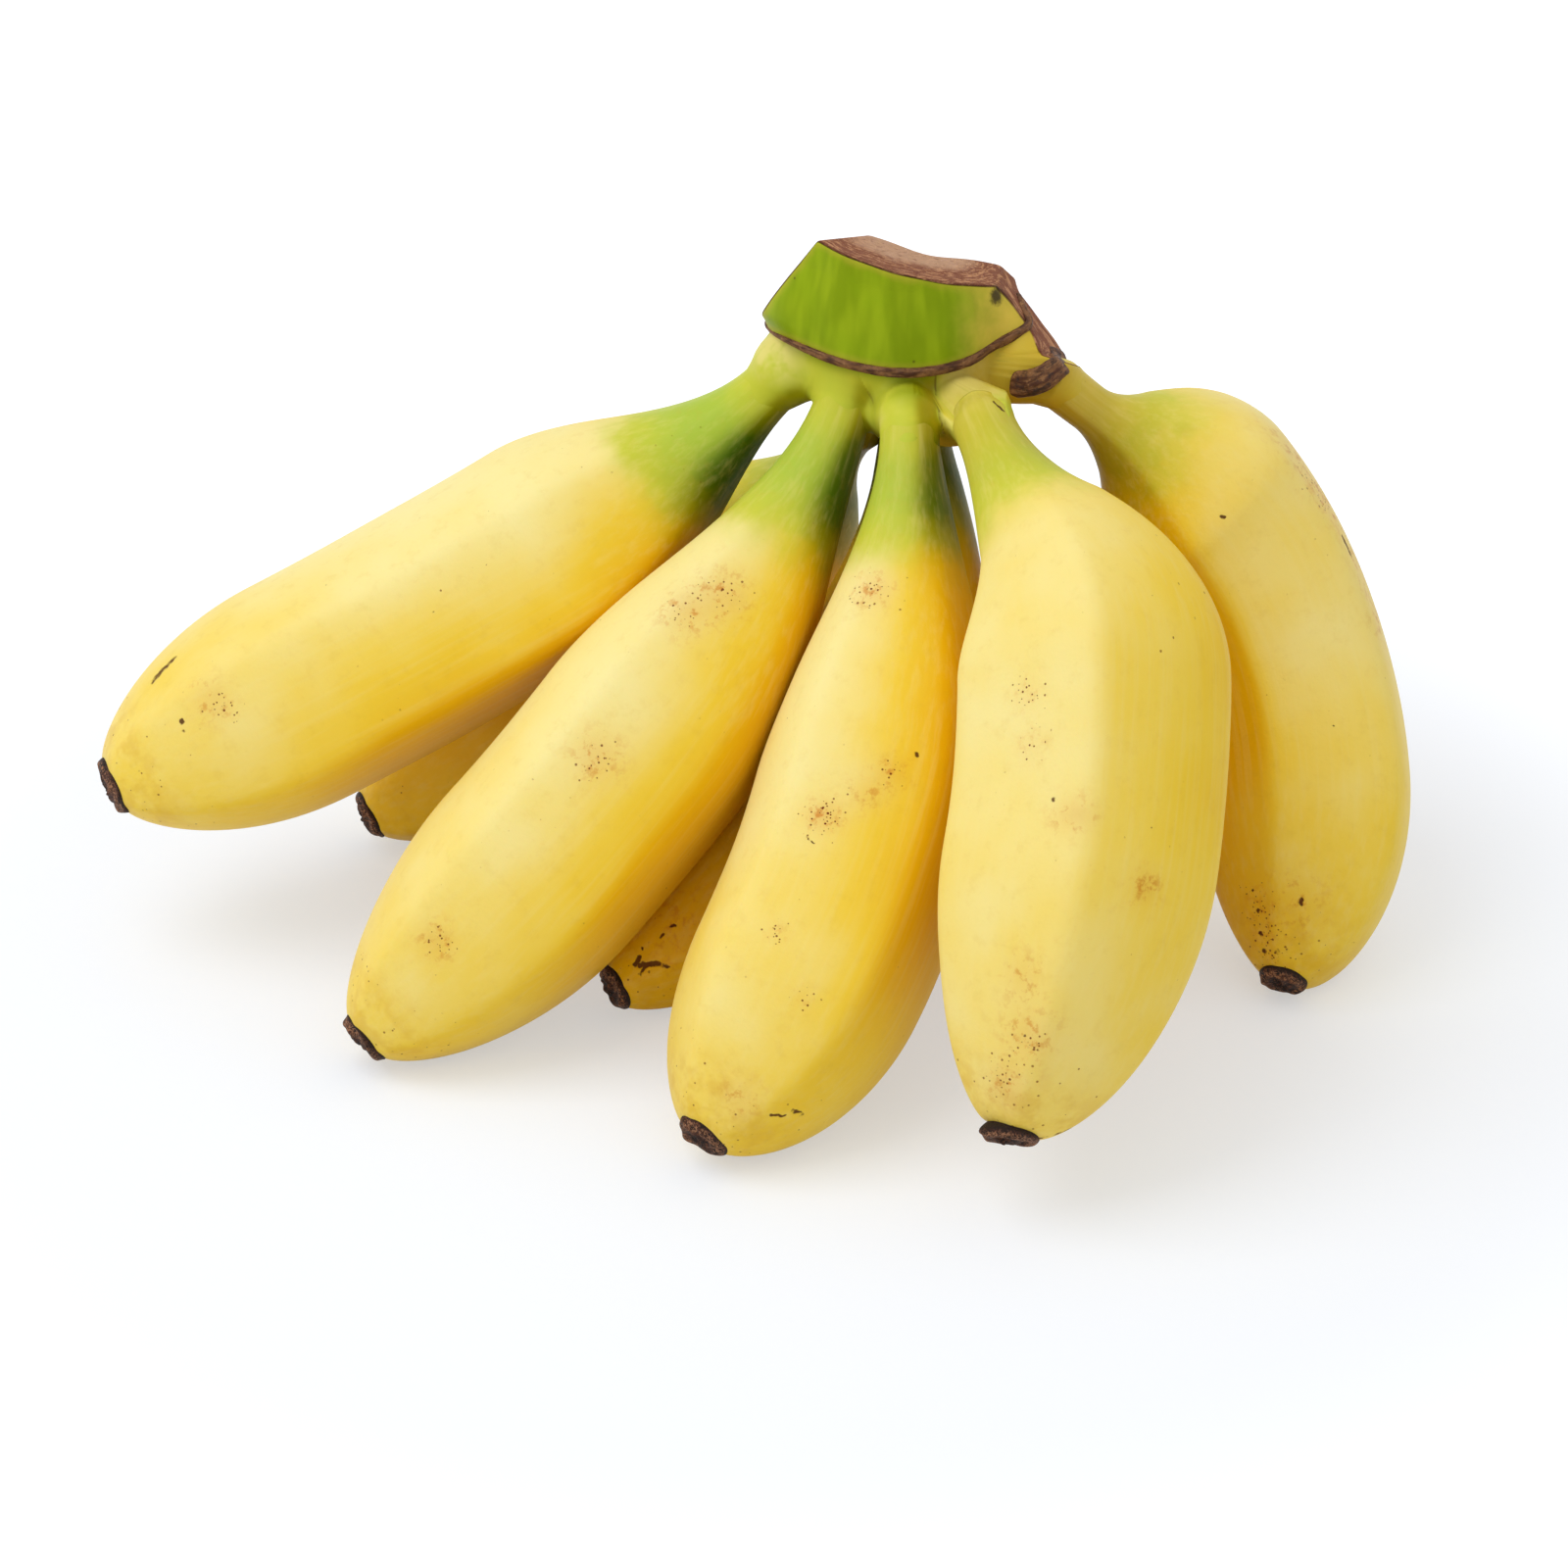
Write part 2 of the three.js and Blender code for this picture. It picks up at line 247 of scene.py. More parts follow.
def colour_of(name, says, *levels):
    """A colour by its everyday levels of red, green and blue."""
    return FloatVectorProperty(
        name=name, description=says, default=paint(*levels), size=3, min=0, max=1, subtype="COLOR",
    )


class HAND_PG_fruit(bpy.types.PropertyGroup):
    """One banana of the hand."""

    root: place_of("Root", "Where the stalk leaves the crown", (0, 0, 0.08))
    pull: place_of("Pull", "How far the root is drawn back into the crown", (0, 0, 0))
    pull_length: length_of("Pull length", "Length of the stalk that is drawn back", 0.01)
    azimuth: angle_of("Azimuth", "Heading of the stalk round the hand, from the front", 0)
    dip: angle_of("Dip", "How steeply the stalk points down", 0.9)
    turn: angle_of("Turn", "Which way the banana bends, round its heading", 0)
    bends: FloatVectorProperty(
        name="Bends", description="Bend of the stalk, the first part and the rest of the body",
        size=3, unit="ROTATION", default=(0.1, 0.3, 0.4),
    )
    stalk: length_of("Stalk", "Length of the stalk", 0.016)
    body: length_of("Body", "Length of the body along its bend", 0.09)
    radius: length_of("Radius", "Greatest radius of the body", 0.016)
    stalk_radius: length_of("Stalk radius", "Radius of the stalk", 0.0038)
    rise: length_of("Rise", "Length over which the stalk swells to the body", 0.04)
    lead: length_of("Lead", "How far before the stalk's end the swelling starts", 0.015)
    taper: length_of("Taper", "Length of the rounding to the tip", 0.03)
    ridge_turn: angle_of("Ridge turn", "Turn of the five soft ridges", 0)
    green: share_of("Green", "How green the neck still is", 0.8)
    green_end: length_of("Green end", "Where the green has faded to yellow", 0.028)
    # These three paint light and shade into the peel's colour: how strong the painted light is, how much
    # of it the shaded side keeps, and the way that it comes from. The side that faces that way gets a
    # painted sheen of pale cream, and the side away from it gets painted shade of deep gold.
    fair: share_of("Fair", "How far the sun made its side paler", 0.5)
    shade_fair: share_of("Shade fair", "How pale its shady side is next to its sunny one", 0)
    sun: FloatVectorProperty(
        name="Sun", description="The way to the sun while the hand hung: that side is paler",
        size=3, subtype="XYZ", default=(-0.65, -0.3, 0.65),
    )
    scar: share_of("Scar", "Size of the tip's dried scar", 1, 0.5)


class HAND_PG_colours(bpy.types.PropertyGroup):
    """The colours of the peel, the crown and the dried parts."""

    ripe: colour_of("Ripe", "Main yellow of the peel", 248, 212, 60)
    # Painted sheen: the pale cream laid on the peel's side that faces the painted light.
    pale: colour_of("Pale", "Paler, creamier yellow of the sunny sides", 252, 236, 160)
    # Painted shade: the deep gold of the peel's side away from the painted light.
    deep: colour_of("Deep", "Deeper golden yellow of the shady sides", 240, 188, 8)
    fading: colour_of("Fading", "Yellow green where the green fades", 206, 206, 60)
    # The necks' green, darkened as painted shade for their side away from the painted light; the next
    # colour is the paler green painted on their lit side.
    green: colour_of("Green", "Green of the necks", 70, 100, 0)
    fair_green: colour_of("Fair green", "Green of the necks on their pale side", 175, 198, 62)
    crown_green: colour_of("Crown green", "Green of the crown's face", 130, 154, 0)
    speck: colour_of("Speck", "Brown of the specks", 120, 44, 6)
    dried: colour_of("Dried", "Tan of the dried cut face", 200, 144, 104)
    streak: colour_of("Streak", "Maroon streaks of the dried cut face", 112, 52, 38)
    dark: colour_of("Dark", "Almost black brown of edges and tips", 40, 24, 18)
    bark: colour_of("Bark", "Brown of the ridge and the flap", 132, 90, 54)


class HAND_PG_stage(bpy.types.PropertyGroup):
    """The floor, the lights and the camera."""

    key_power: FloatProperty(
        name="Key power", description="Power of the big soft lamp", unit="POWER", default=3.0,
    )
    fill: share_of("Fill", "Strength of the even light all round", 0.68)
    camera_distance: length_of("Camera distance", "From the point aimed at", 0.7)
    camera_elevation: angle_of("Camera elevation", "Angle above the floor", math.radians(30))
    aim: place_of("Aim", "Point that the camera looks at", (0.0035, -0.0215, 0.0439))


class HAND_PG_hand(bpy.types.PropertyGroup):
    """All that a user would change."""

    fruits: CollectionProperty(
        type=HAND_PG_fruit, name="Fruits", description="The bananas of the hand",
    )
    colours: PointerProperty(
        type=HAND_PG_colours, name="Colours", description="Colours of the hand",
    )
    stage: PointerProperty(
        type=HAND_PG_stage, name="Stage", description="Floor, lights and camera",
    )


def lay_out(hand):
    """Fills the fruits' sizes from the table, in metres and radians."""
    metric = {"LENGTH": MM, "ROTATION": math.radians(1)}
    hand.fruits.clear()
    for name, row in FRUITS.items():
        fruit = hand.fruits.add()
        fruit.name = name
        for key, value in row.items():
            times = metric.get(fruit.bl_rna.properties[key].unit, 1)
            setattr(fruit, key, (np.array(value) * times).tolist())


# ---- meshes


def unit(vector):
    """The vector, or each row of an array of vectors, at length one."""
    vector = np.asarray(vector, float)
    return vector / np.linalg.norm(vector, axis=-1, keepdims=True)


def fade(value, start, stop):
    """0 before start, 1 after stop, and 3 t^2 - 2 t^3 in between."""
    t = np.clip((value - start) / (stop - start), 0, 1)
    return t * t * (3 - 2 * t)


def waves(seed, along, around, count=9, steps=(5, 4)):
    """A smooth uneven height between about -1 and 1: the mean of some cosines of whole turns round
    the piece and a few waves along it, with seeded phases and falling heights."""
    dice = np.random.default_rng(seed)
    total = np.zeros(np.broadcast(along, around).shape)
    for _ in range(count):
        turns = dice.integers(0, steps[1] + 1)
        length = dice.uniform(0.4, steps[0])
        height = 1 / (1 + 0.5 * turns + 0.5 * length)
        phase = dice.uniform(0, 2 * math.pi)
        total += height * np.cos(turns * around + 2 * math.pi * length * along + phase)
    return total / math.sqrt(count) * 1.6


def in_scene(name, data):
    """A new object in the scene, with its place in its mesh."""
    made = bpy.data.objects.new(name, data)
    bpy.context.scene.collection.objects.link(made)
    return made


def turns_of(count):
    """The angles of a full turn in equal steps."""
    return 2 * math.pi * np.arange(count) / count


def carried(line, first, second, x, y, s):
    """Rings carried along a line: x points along the first way and y along the second. Also their
    places where the line is made straight, with the distances s along it."""
    rings = line[:, None] + first[:, None] * x[..., None] + second[:, None] * y[..., None]
    return rings, np.stack([x, y, np.broadcast_to(s[:, None], x.shape)], axis=-1)


def closed_piece(name, rings, attributes, material):
    """A closed mesh over rings[i, j], the points of ring i in turn. Each ring is joined to the next
    by four-sided faces, and the first and the last ring close on their own middle point. The
    attributes are grids of numbers or vectors over the same points."""
    count, around = rings.shape[:2]
    points = np.concatenate([rings.reshape(-1, 3), [rings[0].mean(0)], [rings[-1].mean(0)]])
    here = np.arange(count * around).reshape(count, around)
    beside = np.roll(here, -1, axis=1)
    walls = np.stack([here[:-1], beside[:-1], beside[1:], here[1:]], axis=-1).reshape(-1, 4)
    start, end = count * around, count * around + 1
    first = np.stack([np.full(around, start), beside[0], here[0]], axis=-1)
    last = np.stack([np.full(around, end), here[-1], beside[-1]], axis=-1)
    a, b, c, d = (points[walls[:, k]] for k in range(4))
    volume = np.einsum("ij,ij->", a, np.cross(b, c)) + np.einsum("ij,ij->", a, np.cross(c, d))
    if volume < 0:
        walls, first, last = walls[:, ::-1], first[:, ::-1], last[:, ::-1]
    mesh = bpy.data.meshes.new(name)
    mesh.from_pydata(points.tolist(), [], walls.tolist() + first.tolist() + last.tolist())
    for key, grid in attributes.items():
        grid = np.broadcast_to(grid, (count, around, *grid.shape[2:])).reshape(count, around, -1)
        ends = [grid[0].mean(0), grid[-1].mean(0)]
        values = np.concatenate([grid.reshape(count * around, -1), ends]).astype(np.float32)
        kind, field = ("FLOAT", "value") if values.shape[1] == 1 else ("FLOAT_VECTOR", "vector")
        mesh.attributes.new(key, kind, "POINT").data.foreach_set(field, values.ravel())
    mesh.shade_smooth()
    mesh.materials.append(material)
    return in_scene(name, mesh)


# ---- the bananas


def centre_line(fruit, s):
    """The middle line of a banana at the distances s from its root: three arcs in one plane, for
    the stalk, the first 30 % of the body and the rest, with the root drawn back by a square that
    dies out along the stalk. Returns the points, the heading, the way outwards in the plane on the
    hollow side and the way across the plane."""
    azimuth, dip, turn = fruit.azimuth, fruit.dip, fruit.turn
    ahead = np.array([
        math.sin(azimuth) * math.cos(dip), -math.cos(azimuth) * math.cos(dip), -math.sin(dip),
    ])
    level = unit(np.cross((0, 0, 1), ahead))
    above = np.cross(ahead, level)
    bend_way = math.cos(turn) * level + math.sin(turn) * above
    across = np.cross(ahead, bend_way)
    lengths = (fruit.stalk, NECK_SHARE * fruit.body, (1 - NECK_SHARE) * fruit.body)
    s = np.asarray(s, float)
    points = np.zeros((len(s), 3))
    bend = np.zeros(len(s))
    corner, begun, turned = np.array(fruit.root), 0.0, 0.0
    for index, (length, arc) in enumerate(zip(lengths, fruit.bends)):
        rate = arc / length
        inside = s > begun if index else np.ones(len(s), bool)
        here = np.append(turned + rate * (s[inside] - begun), turned + arc)[:, None]
        far = (np.sin(here) - math.sin(turned)) / rate
        side = (math.cos(turned) - np.cos(here)) / rate
        reached = corner + far * ahead + side * bend_way
        points[inside], corner = reached[:-1], reached[-1]
        bend[inside] = here[:-1, 0]
        begun, turned = begun + length, turned + arc
    left = np.clip(1 - s / fruit.pull_length, 0, None)[:, None]
    pull = np.array(fruit.pull)
    points = points + left**2 * pull
    heading = np.cos(bend)[:, None] * ahead + np.sin(bend)[:, None] * bend_way
    heading = unit(heading - left * pull * 2 / fruit.pull_length)
    across = unit(across - heading * (heading @ across)[:, None])
    outwards = np.cross(across, heading)
    return points, heading, outwards, across


def peel_radius(fruit, s):
    """Radius at the distances s: the stalk's, growing by a smooth step to the body's, which rounds
    off to the tip as a power of its distance from the end, plus a flare that dies away from the
    root. Also gives that smooth step."""
    swell = fade(s - fruit.stalk + fruit.lead, 0, fruit.rise)
    flare = 0.12 * fruit.stalk_radius * np.exp(-np.clip(s, 0, None) / (5 * MM))
    to_end = np.clip((fruit.stalk + fruit.body - s) / fruit.taper, 0, 1)
    blunt = (1 - (1 - to_end) ** SWELL_POWER) ** (1 / ROUND_POWER)
    tip = TIP_RADIUS * fruit.scar * MM
    full = tip + (fruit.radius - tip) * blunt
    return fruit.stalk_radius * (1 - swell) + full * swell + flare, swell


def section(fruit, angle):
    """Reach of the body's section at the angles: a five-sided outline with round corners, whose
    flats lie about 1 from the middle. It is the power mean of how far each flat allows the reach,
    and the flats are set a little unevenly."""
    dice = np.random.default_rng(round(1e5 * fruit.body))
    corners = turns_of(RIDGES) - fruit.ridge_turn
    flats = corners + math.pi / RIDGES + dice.uniform(-FLAT_TURN, FLAT_TURN, RIDGES)
    away = np.clip(np.cos(angle[..., None] - flats), 0, 1) / dice.uniform(*FLAT_REACH, RIDGES)
    return (away**SECTION_POWER).sum(-1) ** (-1 / SECTION_POWER)


def peel(fruit, seed):
    """The skin of one banana as a grid: round the bent middle line, the radius at each distance
    times a section with five soft ridges, plus smooth uneven swellings. The stations crowd towards
    the two ends as a cosine does."""
    length = fruit.stalk + fruit.body
    stations, around = PEEL_GRID
    share = np.linspace(0, 1, stations)
    crowded = 0.5 - 0.5 * np.cos(math.pi * share)
    begin = BASES[fruit.name][2] * MM
    s = begin + (length - begin) * (0.45 * share + 0.55 * crowded)
    angle = turns_of(around)
    points, _, outwards, across = centre_line(fruit, s)
    radius, swell = peel_radius(fruit, s)
    outline = section(fruit, angle)[None, :]
    sharpness = STALK_SHARPNESS + BODY_SHARPNESS * fade(swell, 0.15, 0.8)[:, None]
    scale = 1 + sharpness * (outline - outline.mean())
    scale = scale + SWELLINGS * waves(seed, s[:, None] / length, angle[None, :]) * swell[:, None]
    scale = scale * (0.75 + 0.25 * fade(s, begin, begin + 0.003)[:, None])
    reach = radius[:, None] * scale
    rings, straight = carried(points, outwards, across, reach * np.cos(angle), reach * np.sin(angle), s)
    return rings, {
        "straight": straight,
        "neck": neck_green(fruit, s)[:, None],
        "tip": fade(s, length - 0.016, length)[:, None],
        "bruised": marked(fruit, straight, BRUISES),
        "crowded": marked(fruit, straight, CROWDS),
        # Painted light and shade of the peel, from the way that its surface faces.
        "fair": fairness(fruit, facing(rings), fade(s, length - 0.05, length - 0.016)[:, None]),
    }


def facing(rings):
    """The way that a grid's surface faces at each point, away from its middle."""
    along = np.gradient(rings, axis=0)
    round_it = np.roll(rings, -1, axis=1) - np.roll(rings, 1, axis=1)
    ways = unit(np.cross(round_it, along))
    return ways * np.sign(np.einsum("ijk,ijk->", ways, rings - rings.mean((0, 1))))


def fairness(fruit, ways, tip=0):
    """Painted light and shade of the skin that faces the ways: a painted highlight towards the way of
    the painted light and painted shade away from it, both drawn towards an even level round the tip.
    """
    sunny = fade(ways @ unit(fruit.sun), -0.25, 0.88)
    sunny = sunny + (0.75 - sunny) * 0.8 * tip
    return fruit.fair * (fruit.shade_fair + (1 - fruit.shade_fair) * sunny)


def neck_green(fruit, s):
    """How green the peel is at the distances s: some at the root, all along the stalk, and fading
    out over the shoulder."""
    ease = 1 - fade(s, 0.35 * fruit.green_end, 1.25 * fruit.green_end)
    return fruit.green * ease * (0.44 + 0.56 * fade(s, 0.002, 0.015))


# Marks of each banana, by the distance from the root (mm) and the angle from the hollow side
# (degrees): soft bruises and crowds of specks with their radius, and dark scratches from one place
# to another, or dots at one place, with their width.
BRUISES = {
    "banana_front_1": ((97, 353, 3),),
    "banana_front_2": ((36, 284, 4), (41, 298, 4), (65, 285, 3.5), (99, 284, 3)),
    "banana_front_3": ((28, 324, 3), (63, 316, 2.4), (58, 298, 2.6), (54, 289, 2.4), (104, 286, 3)),
    "banana_front_4": (
        (69, 253, 2.6), (69, 248, 1.8), (76, 213, 2.6), (76, 213, 1.5), (97, 252, 4), (90, 262, 3),
        (104, 262, 3),
    ),
    "banana_front_5": ((34, 240, 5), (42, 240, 4), (50, 242, 4), (58, 244, 4), (100, 320, 5)),
    "banana_back_2": ((96, 300, 8),),
}
CROWDS = {
    "banana_front_1": ((96, 345, 2.2),),
    "banana_front_2": ((36, 284, 2.6), (41, 298, 2.2), (65, 285, 2.6), (99, 283, 2)),
    "banana_front_3": (
        (63, 316, 2.8), (63, 316, 1.8), (54, 290, 2), (82, 316, 1.6), (28, 324, 2.4), (89, 289, 1.6),
    ),
    "banana_front_4": ((53, 278, 2.4), (60, 274, 2.4), (97, 252, 2), (103, 262, 2.4)),
    "banana_front_5": ((105, 346, 3.4), (40, 246, 3.4), (100, 350, 2.6)),
}
SCRATCHES = {
    "banana_front_1": (
        (99, 38, 103, 36, 1.4), (59, 357, 0.6), (102, 350, 0.9), (102.5, 344, 0.6), (74, 18, 0.4),
        (83, 9, 78, 8, 0.3), (62, 336, 0.5), (57, 334, 0.5), (48, 332, 0.5),
    ),
    "banana_front_2": ((65, 282, 0.5), (98, 280, 0.7), (36, 283, 0.5)),
    "banana_front_3": (
        (51, 279, 0.9), (67, 319, 67.4, 313, 0.4), (62, 311, 62, 309, 0.4), (90, 290, 0.6),
        (101, 248, 100, 232, 0.6), (103, 258, 102, 247, 0.5), (99, 236, 97.5, 235, 0.4),
        (55, 300, 0.4), (77, 288, 0.5),
    ),
    "banana_front_4": (
        (44, 248, 0.8), (67, 261, 0.8), (76, 214, 0.7), (77, 212, 0.5), (109, 192, 106, 168, 0.9),
        (5.8, 218, 7, 205, 0.5), (89, 218, 90, 217, 0.5), (97, 254, 0.6), (80, 214, 0.4),
        (57, 210, 57.5, 211, 0.5), (66, 211, 0.5),
    ),
    "banana_front_5": (
        (30, 308, 30.5, 307, 0.6), (46, 249, 48.5, 250, 0.7), (71, 297, 0.5), (90, 254, 0.6),
        (99, 312, 99.5, 312, 0.8), (104, 352, 0.9), (101, 350, 0.7), (103, 340, 0.7),
        (106, 330, 0.9), (106, 355, 0.9), (98, 352, 0.5), (3, 316, 1),
    ),
    "banana_back_2": (
        (103.5, 297, 101.5, 285, 0.8), (102.5, 291, 104, 284, 0.6), (101.5, 285, 100.5, 276, 0.7),
        (104, 302, 103, 306, 0.8), (99, 309, 98.5, 310, 0.6), (97, 310, 96.5, 309, 0.6),
        (102, 314, 0.5), (103, 280, 0.5),
    ),
}


def marked(fruit, straight, table):
    """How marked the peel is: the sum of a bell round each place of a table of soft marks."""
    total = np.zeros(straight.shape[:2])
    for along, around, size in table.get(fruit.name, ()):
        away = np.linalg.norm(straight - mark_place(fruit, along, around), axis=-1)
        total = total + np.exp(-((away / (size * MM)) ** 2))
    return total


def mark_place(fruit, along, around):
    """A mark's place in the peel's straightened coordinates."""
    s = along * MM
    radius = float(peel_radius(fruit, np.array([s]))[0][0])
    angle = math.radians(around)
    return np.array([radius * math.cos(angle), radius * math.sin(angle), s])


def tip_scar(fruit, seed):
    """The dried scar on a banana's tip as rings from its edge to its middle: a rough low dome
    with uneven cosines round it."""
    length = fruit.stalk + fruit.body
    points, heading, _, across = centre_line(fruit, np.array([length]))
    tilt = np.array(SCAR_TILTS.get(fruit.name, (0, 0, 0)))
    points = points + (2.4 * tilt + 1.2 * np.linalg.norm(tilt) * heading) * MM
    heading = unit(heading + tilt)
    outwards = np.cross(across, heading)
    stations, around = SCAR_GRID
    angle = turns_of(around)
    profile = np.array(SCAR_PROFILE) * fruit.scar
    index = np.arange(len(profile))
    fine = np.linspace(0, index[-1], stations)
    out = np.interp(fine, index, profile[:, 0])[:, None]
    up = np.interp(fine, index, profile[:, 1])[:, None]
    crumple = waves(seed, fine[:, None] / len(profile), angle, 14, (4, 9))
    lobes = waves(seed + 50, np.zeros((1, 1)), angle, 8, (1, 6))
    swell = fade(fine, 2, 6)[:, None]
    out = out * (1 + 0.1 * lobes * swell + 0.05 * crumple * swell) * MM
    up = (up + 0.5 * crumple * swell) * MM
    flat = np.stack([out * np.cos(angle), out * np.sin(angle), up + 0 * out], axis=-1)
    rings = points[0] + flat @ np.concatenate([outwards, across, heading])
    return rings, {"straight": flat, "inner": fine[:, None] / index[-1]}


# ---- the crown


def soft_least(a, b, width):
    """The lesser of two distances, with their corner filled over the given width."""
    near = np.clip(1 - np.abs(a - b) / width, 0, 1)
    return np.minimum(a, b) - near * near * width / 4


def soft_most(a, b, width):
    """The greater of two distances, with their corner rounded over the given width."""
    return -soft_least(-a, -b, width)


def chain(points, rods, join):
    """Distance from points to a chain of balls, each a place and a radius. Two neighbours are joined
    by a rod whose radius changes evenly along it, and the rods run together over the join."""
    whole = None
    for start, end in zip(rods, rods[1:]):
        start, end = np.array(start, float), np.array(end, float)
        axis = (end - start)[:3]
        share = np.clip(((points - start[:3]) @ axis) / (axis @ axis), 0, 1)
        middle = start[:3] + share[..., None] * axis
        radius = start[3] + share * (end[3] - start[3])
        rod = np.linalg.norm(points - middle, axis=-1) - radius
        whole = rod if whole is None else soft_least(whole, rod, join)
    return whole


def ridge_line(turn):
    """Height (millimetres) of the ridge under the face at the angles round the crown."""
    steps = np.radians(RIDGE_TURNS)
    return smooth_through(steps, RIDGE_HEIGHTS, np.clip(turn, steps[0], steps[-1]))


def face_distance(points):
    """Distance of points (millimetres) outside the crown's round front: a cone about an upright
    axis that narrows upwards, and below the ridge steps in and draws in slowly."""
    x, y, z = np.moveaxis(points - (*CROWN_AXIS, 0), -1, 0)
    turn = np.arctan2(x, -y)
    height = z - ridge_line(turn)
    radius = CROWN_RADIUS - CROWN_LEAN * (z - CROWN_BASE)
    radius = radius - 0.8 * fade(-height, 0.2, 1.2) + 0.4 * np.minimum(height, 0)
    belly = 0.4 * np.sin(np.clip(height / 11, 0, 1) * math.pi)
    left = fade(-turn, math.radians(35), math.radians(78))
    belly = belly + 2 * left * fade(height, -1, 3) * fade(height, 14, 4)
    ribs = 0.12 * np.cos(RIB_COUNT * turn + 0.6) * fade(height, 0.5, 4)
    return np.hypot(x, y) - radius - belly - ribs


def cut_distances(points):
    """Distance of points (millimetres) outside each cut. The one at the back is hollow, as a bell
    curve across the crown, and the one on the right ends above the last stalk."""
    distances = {
        name: (points - np.array(point, float)) @ unit(facing)
        for name, (point, facing) in CUTS.items()
    }
    x, y, z = np.moveaxis(points, -1, 0)
    middle, width, deep = HOLLOW
    distances["back"] = distances["back"] + deep * np.exp(-(((x - middle) / width) ** 2))
    distances["right"] = distances["right"] - 2 * np.clip(87.3 - 0.87 * z - 0.5 * y, 0, None)
    return distances


def flesh_distance(points, fruits):
    """Distance of points (millimetres) outside the crown before it was cut: the cone, joined with
    soft hollows to the thick beginnings of the stalks."""
    block = face_distance(points)
    under = (points - np.array(UNDERSIDE[0], float)) @ unit(UNDERSIDE[1])
    block = soft_most(block, under, UNDER_EDGE)
    stalks = chain(points, SHOULDER, SHOULDER_JOIN)
    for fruit in fruits:
        rods, wider, begin = BASES[fruit.name]
        steps = (begin + np.array([0, 2, 5, 9])) * MM
        line = centre_line(fruit, steps)[0] / MM
        thick = peel_radius(fruit, steps)[0] / MM + (wider, 0.35 * wider, -0.12, -0.5)
        stalk = chain(points, [*rods, *np.column_stack([line, thick])], ROD_JOIN)
        stalks = soft_least(stalks, stalk, STALK_JOIN)
    return soft_least(block, stalks, CROWN_JOIN)


def crown_distance(points, fruits):
    """Distance of points (millimetres) outside the crown: its flesh, trimmed by the cuts."""
    whole = flesh_distance(points, fruits)
    for distance in cut_distances(points).values():
        whole = soft_most(whole, distance, CUT_EDGE)
    return whole


def laid_on(points, fruits, lift):
    """Points (millimetres) slid back from the front, and down by about half as much, until they are
    the lift outside the crown."""
    way = unit((0, 0.87, -0.5))
    outside, furthest = -15.0, 9
    slid = np.full(len(points), outside)
    for _ in range(80):
        slid = slid + 0.7 * (crown_distance(points + slid[:, None] * way, fruits) - lift)
    return points + np.minimum(slid, furthest)[:, None] * way


def crown(fruits):
    """The crown as a ball of directions from its heart, each point pushed out along its direction
    until the distance to the crown is nought."""
    stations, around = CROWN_GRID
    polar = np.linspace(0.004, math.pi - 0.004, stations)[:, None]
    angle = turns_of(around)[None, :]
    level = np.sin(polar)
    ways = np.stack([
        level * np.cos(angle), level * np.sin(angle), np.cos(polar) * np.ones_like(angle),
    ], axis=-1)
    heart = np.array(CROWN_HEART, float)
    reach = np.full(ways.shape[:2], 0.5)
    for _ in range(70):
        away = crown_distance(heart + ways * reach[..., None], fruits)
        reach = reach - 0.75 * np.clip(away, -2, 2)
    points = heart + ways * reach[..., None]
    cut = np.min([-distance for distance in cut_distances(points).values()], axis=0)
    depth = -flesh_distance(points, fruits)
    x, y, z = np.moveaxis(points - (*CROWN_AXIS, 0), -1, 0)
    turn = np.arctan2(x, -y)
    ways = facing(points)
    away, greens, reaches, fairs = [], [], [], []
    for fruit in fruits:
        steps = np.linspace(-0.002, 0.012, 15)
        line = centre_line(fruit, steps)[0] / MM
        apart = np.linalg.norm(points[..., None, :] - line, axis=-1)
        place = apart.argmin(-1)
        away.append(apart.min(-1) - fruit.stalk_radius / MM)
        greens.append(neck_green(fruit, steps)[place])
        reaches.append(steps[place])
        # Painted light and shade of the flesh near this stalk, as on its peel.
        fairs.append(fairness(fruit, ways))
    first, second = np.sort(away, axis=0)[:2]
    closest = np.argmin(away, axis=0)[None]
    neck, out, fair = (np.take_along_axis(np.array(v), closest, 0)[0] for v in (greens, reaches, fairs))
    return points * MM, {
        "cut": cut, "depth": depth, "edge": np.maximum(depth, cut), "face": -face_distance(points),
        "height": z - ridge_line(turn), "along": turn,
        "neck": neck, "out": out, "fair": fair, "stalk": first, "crease": second - first,
    }


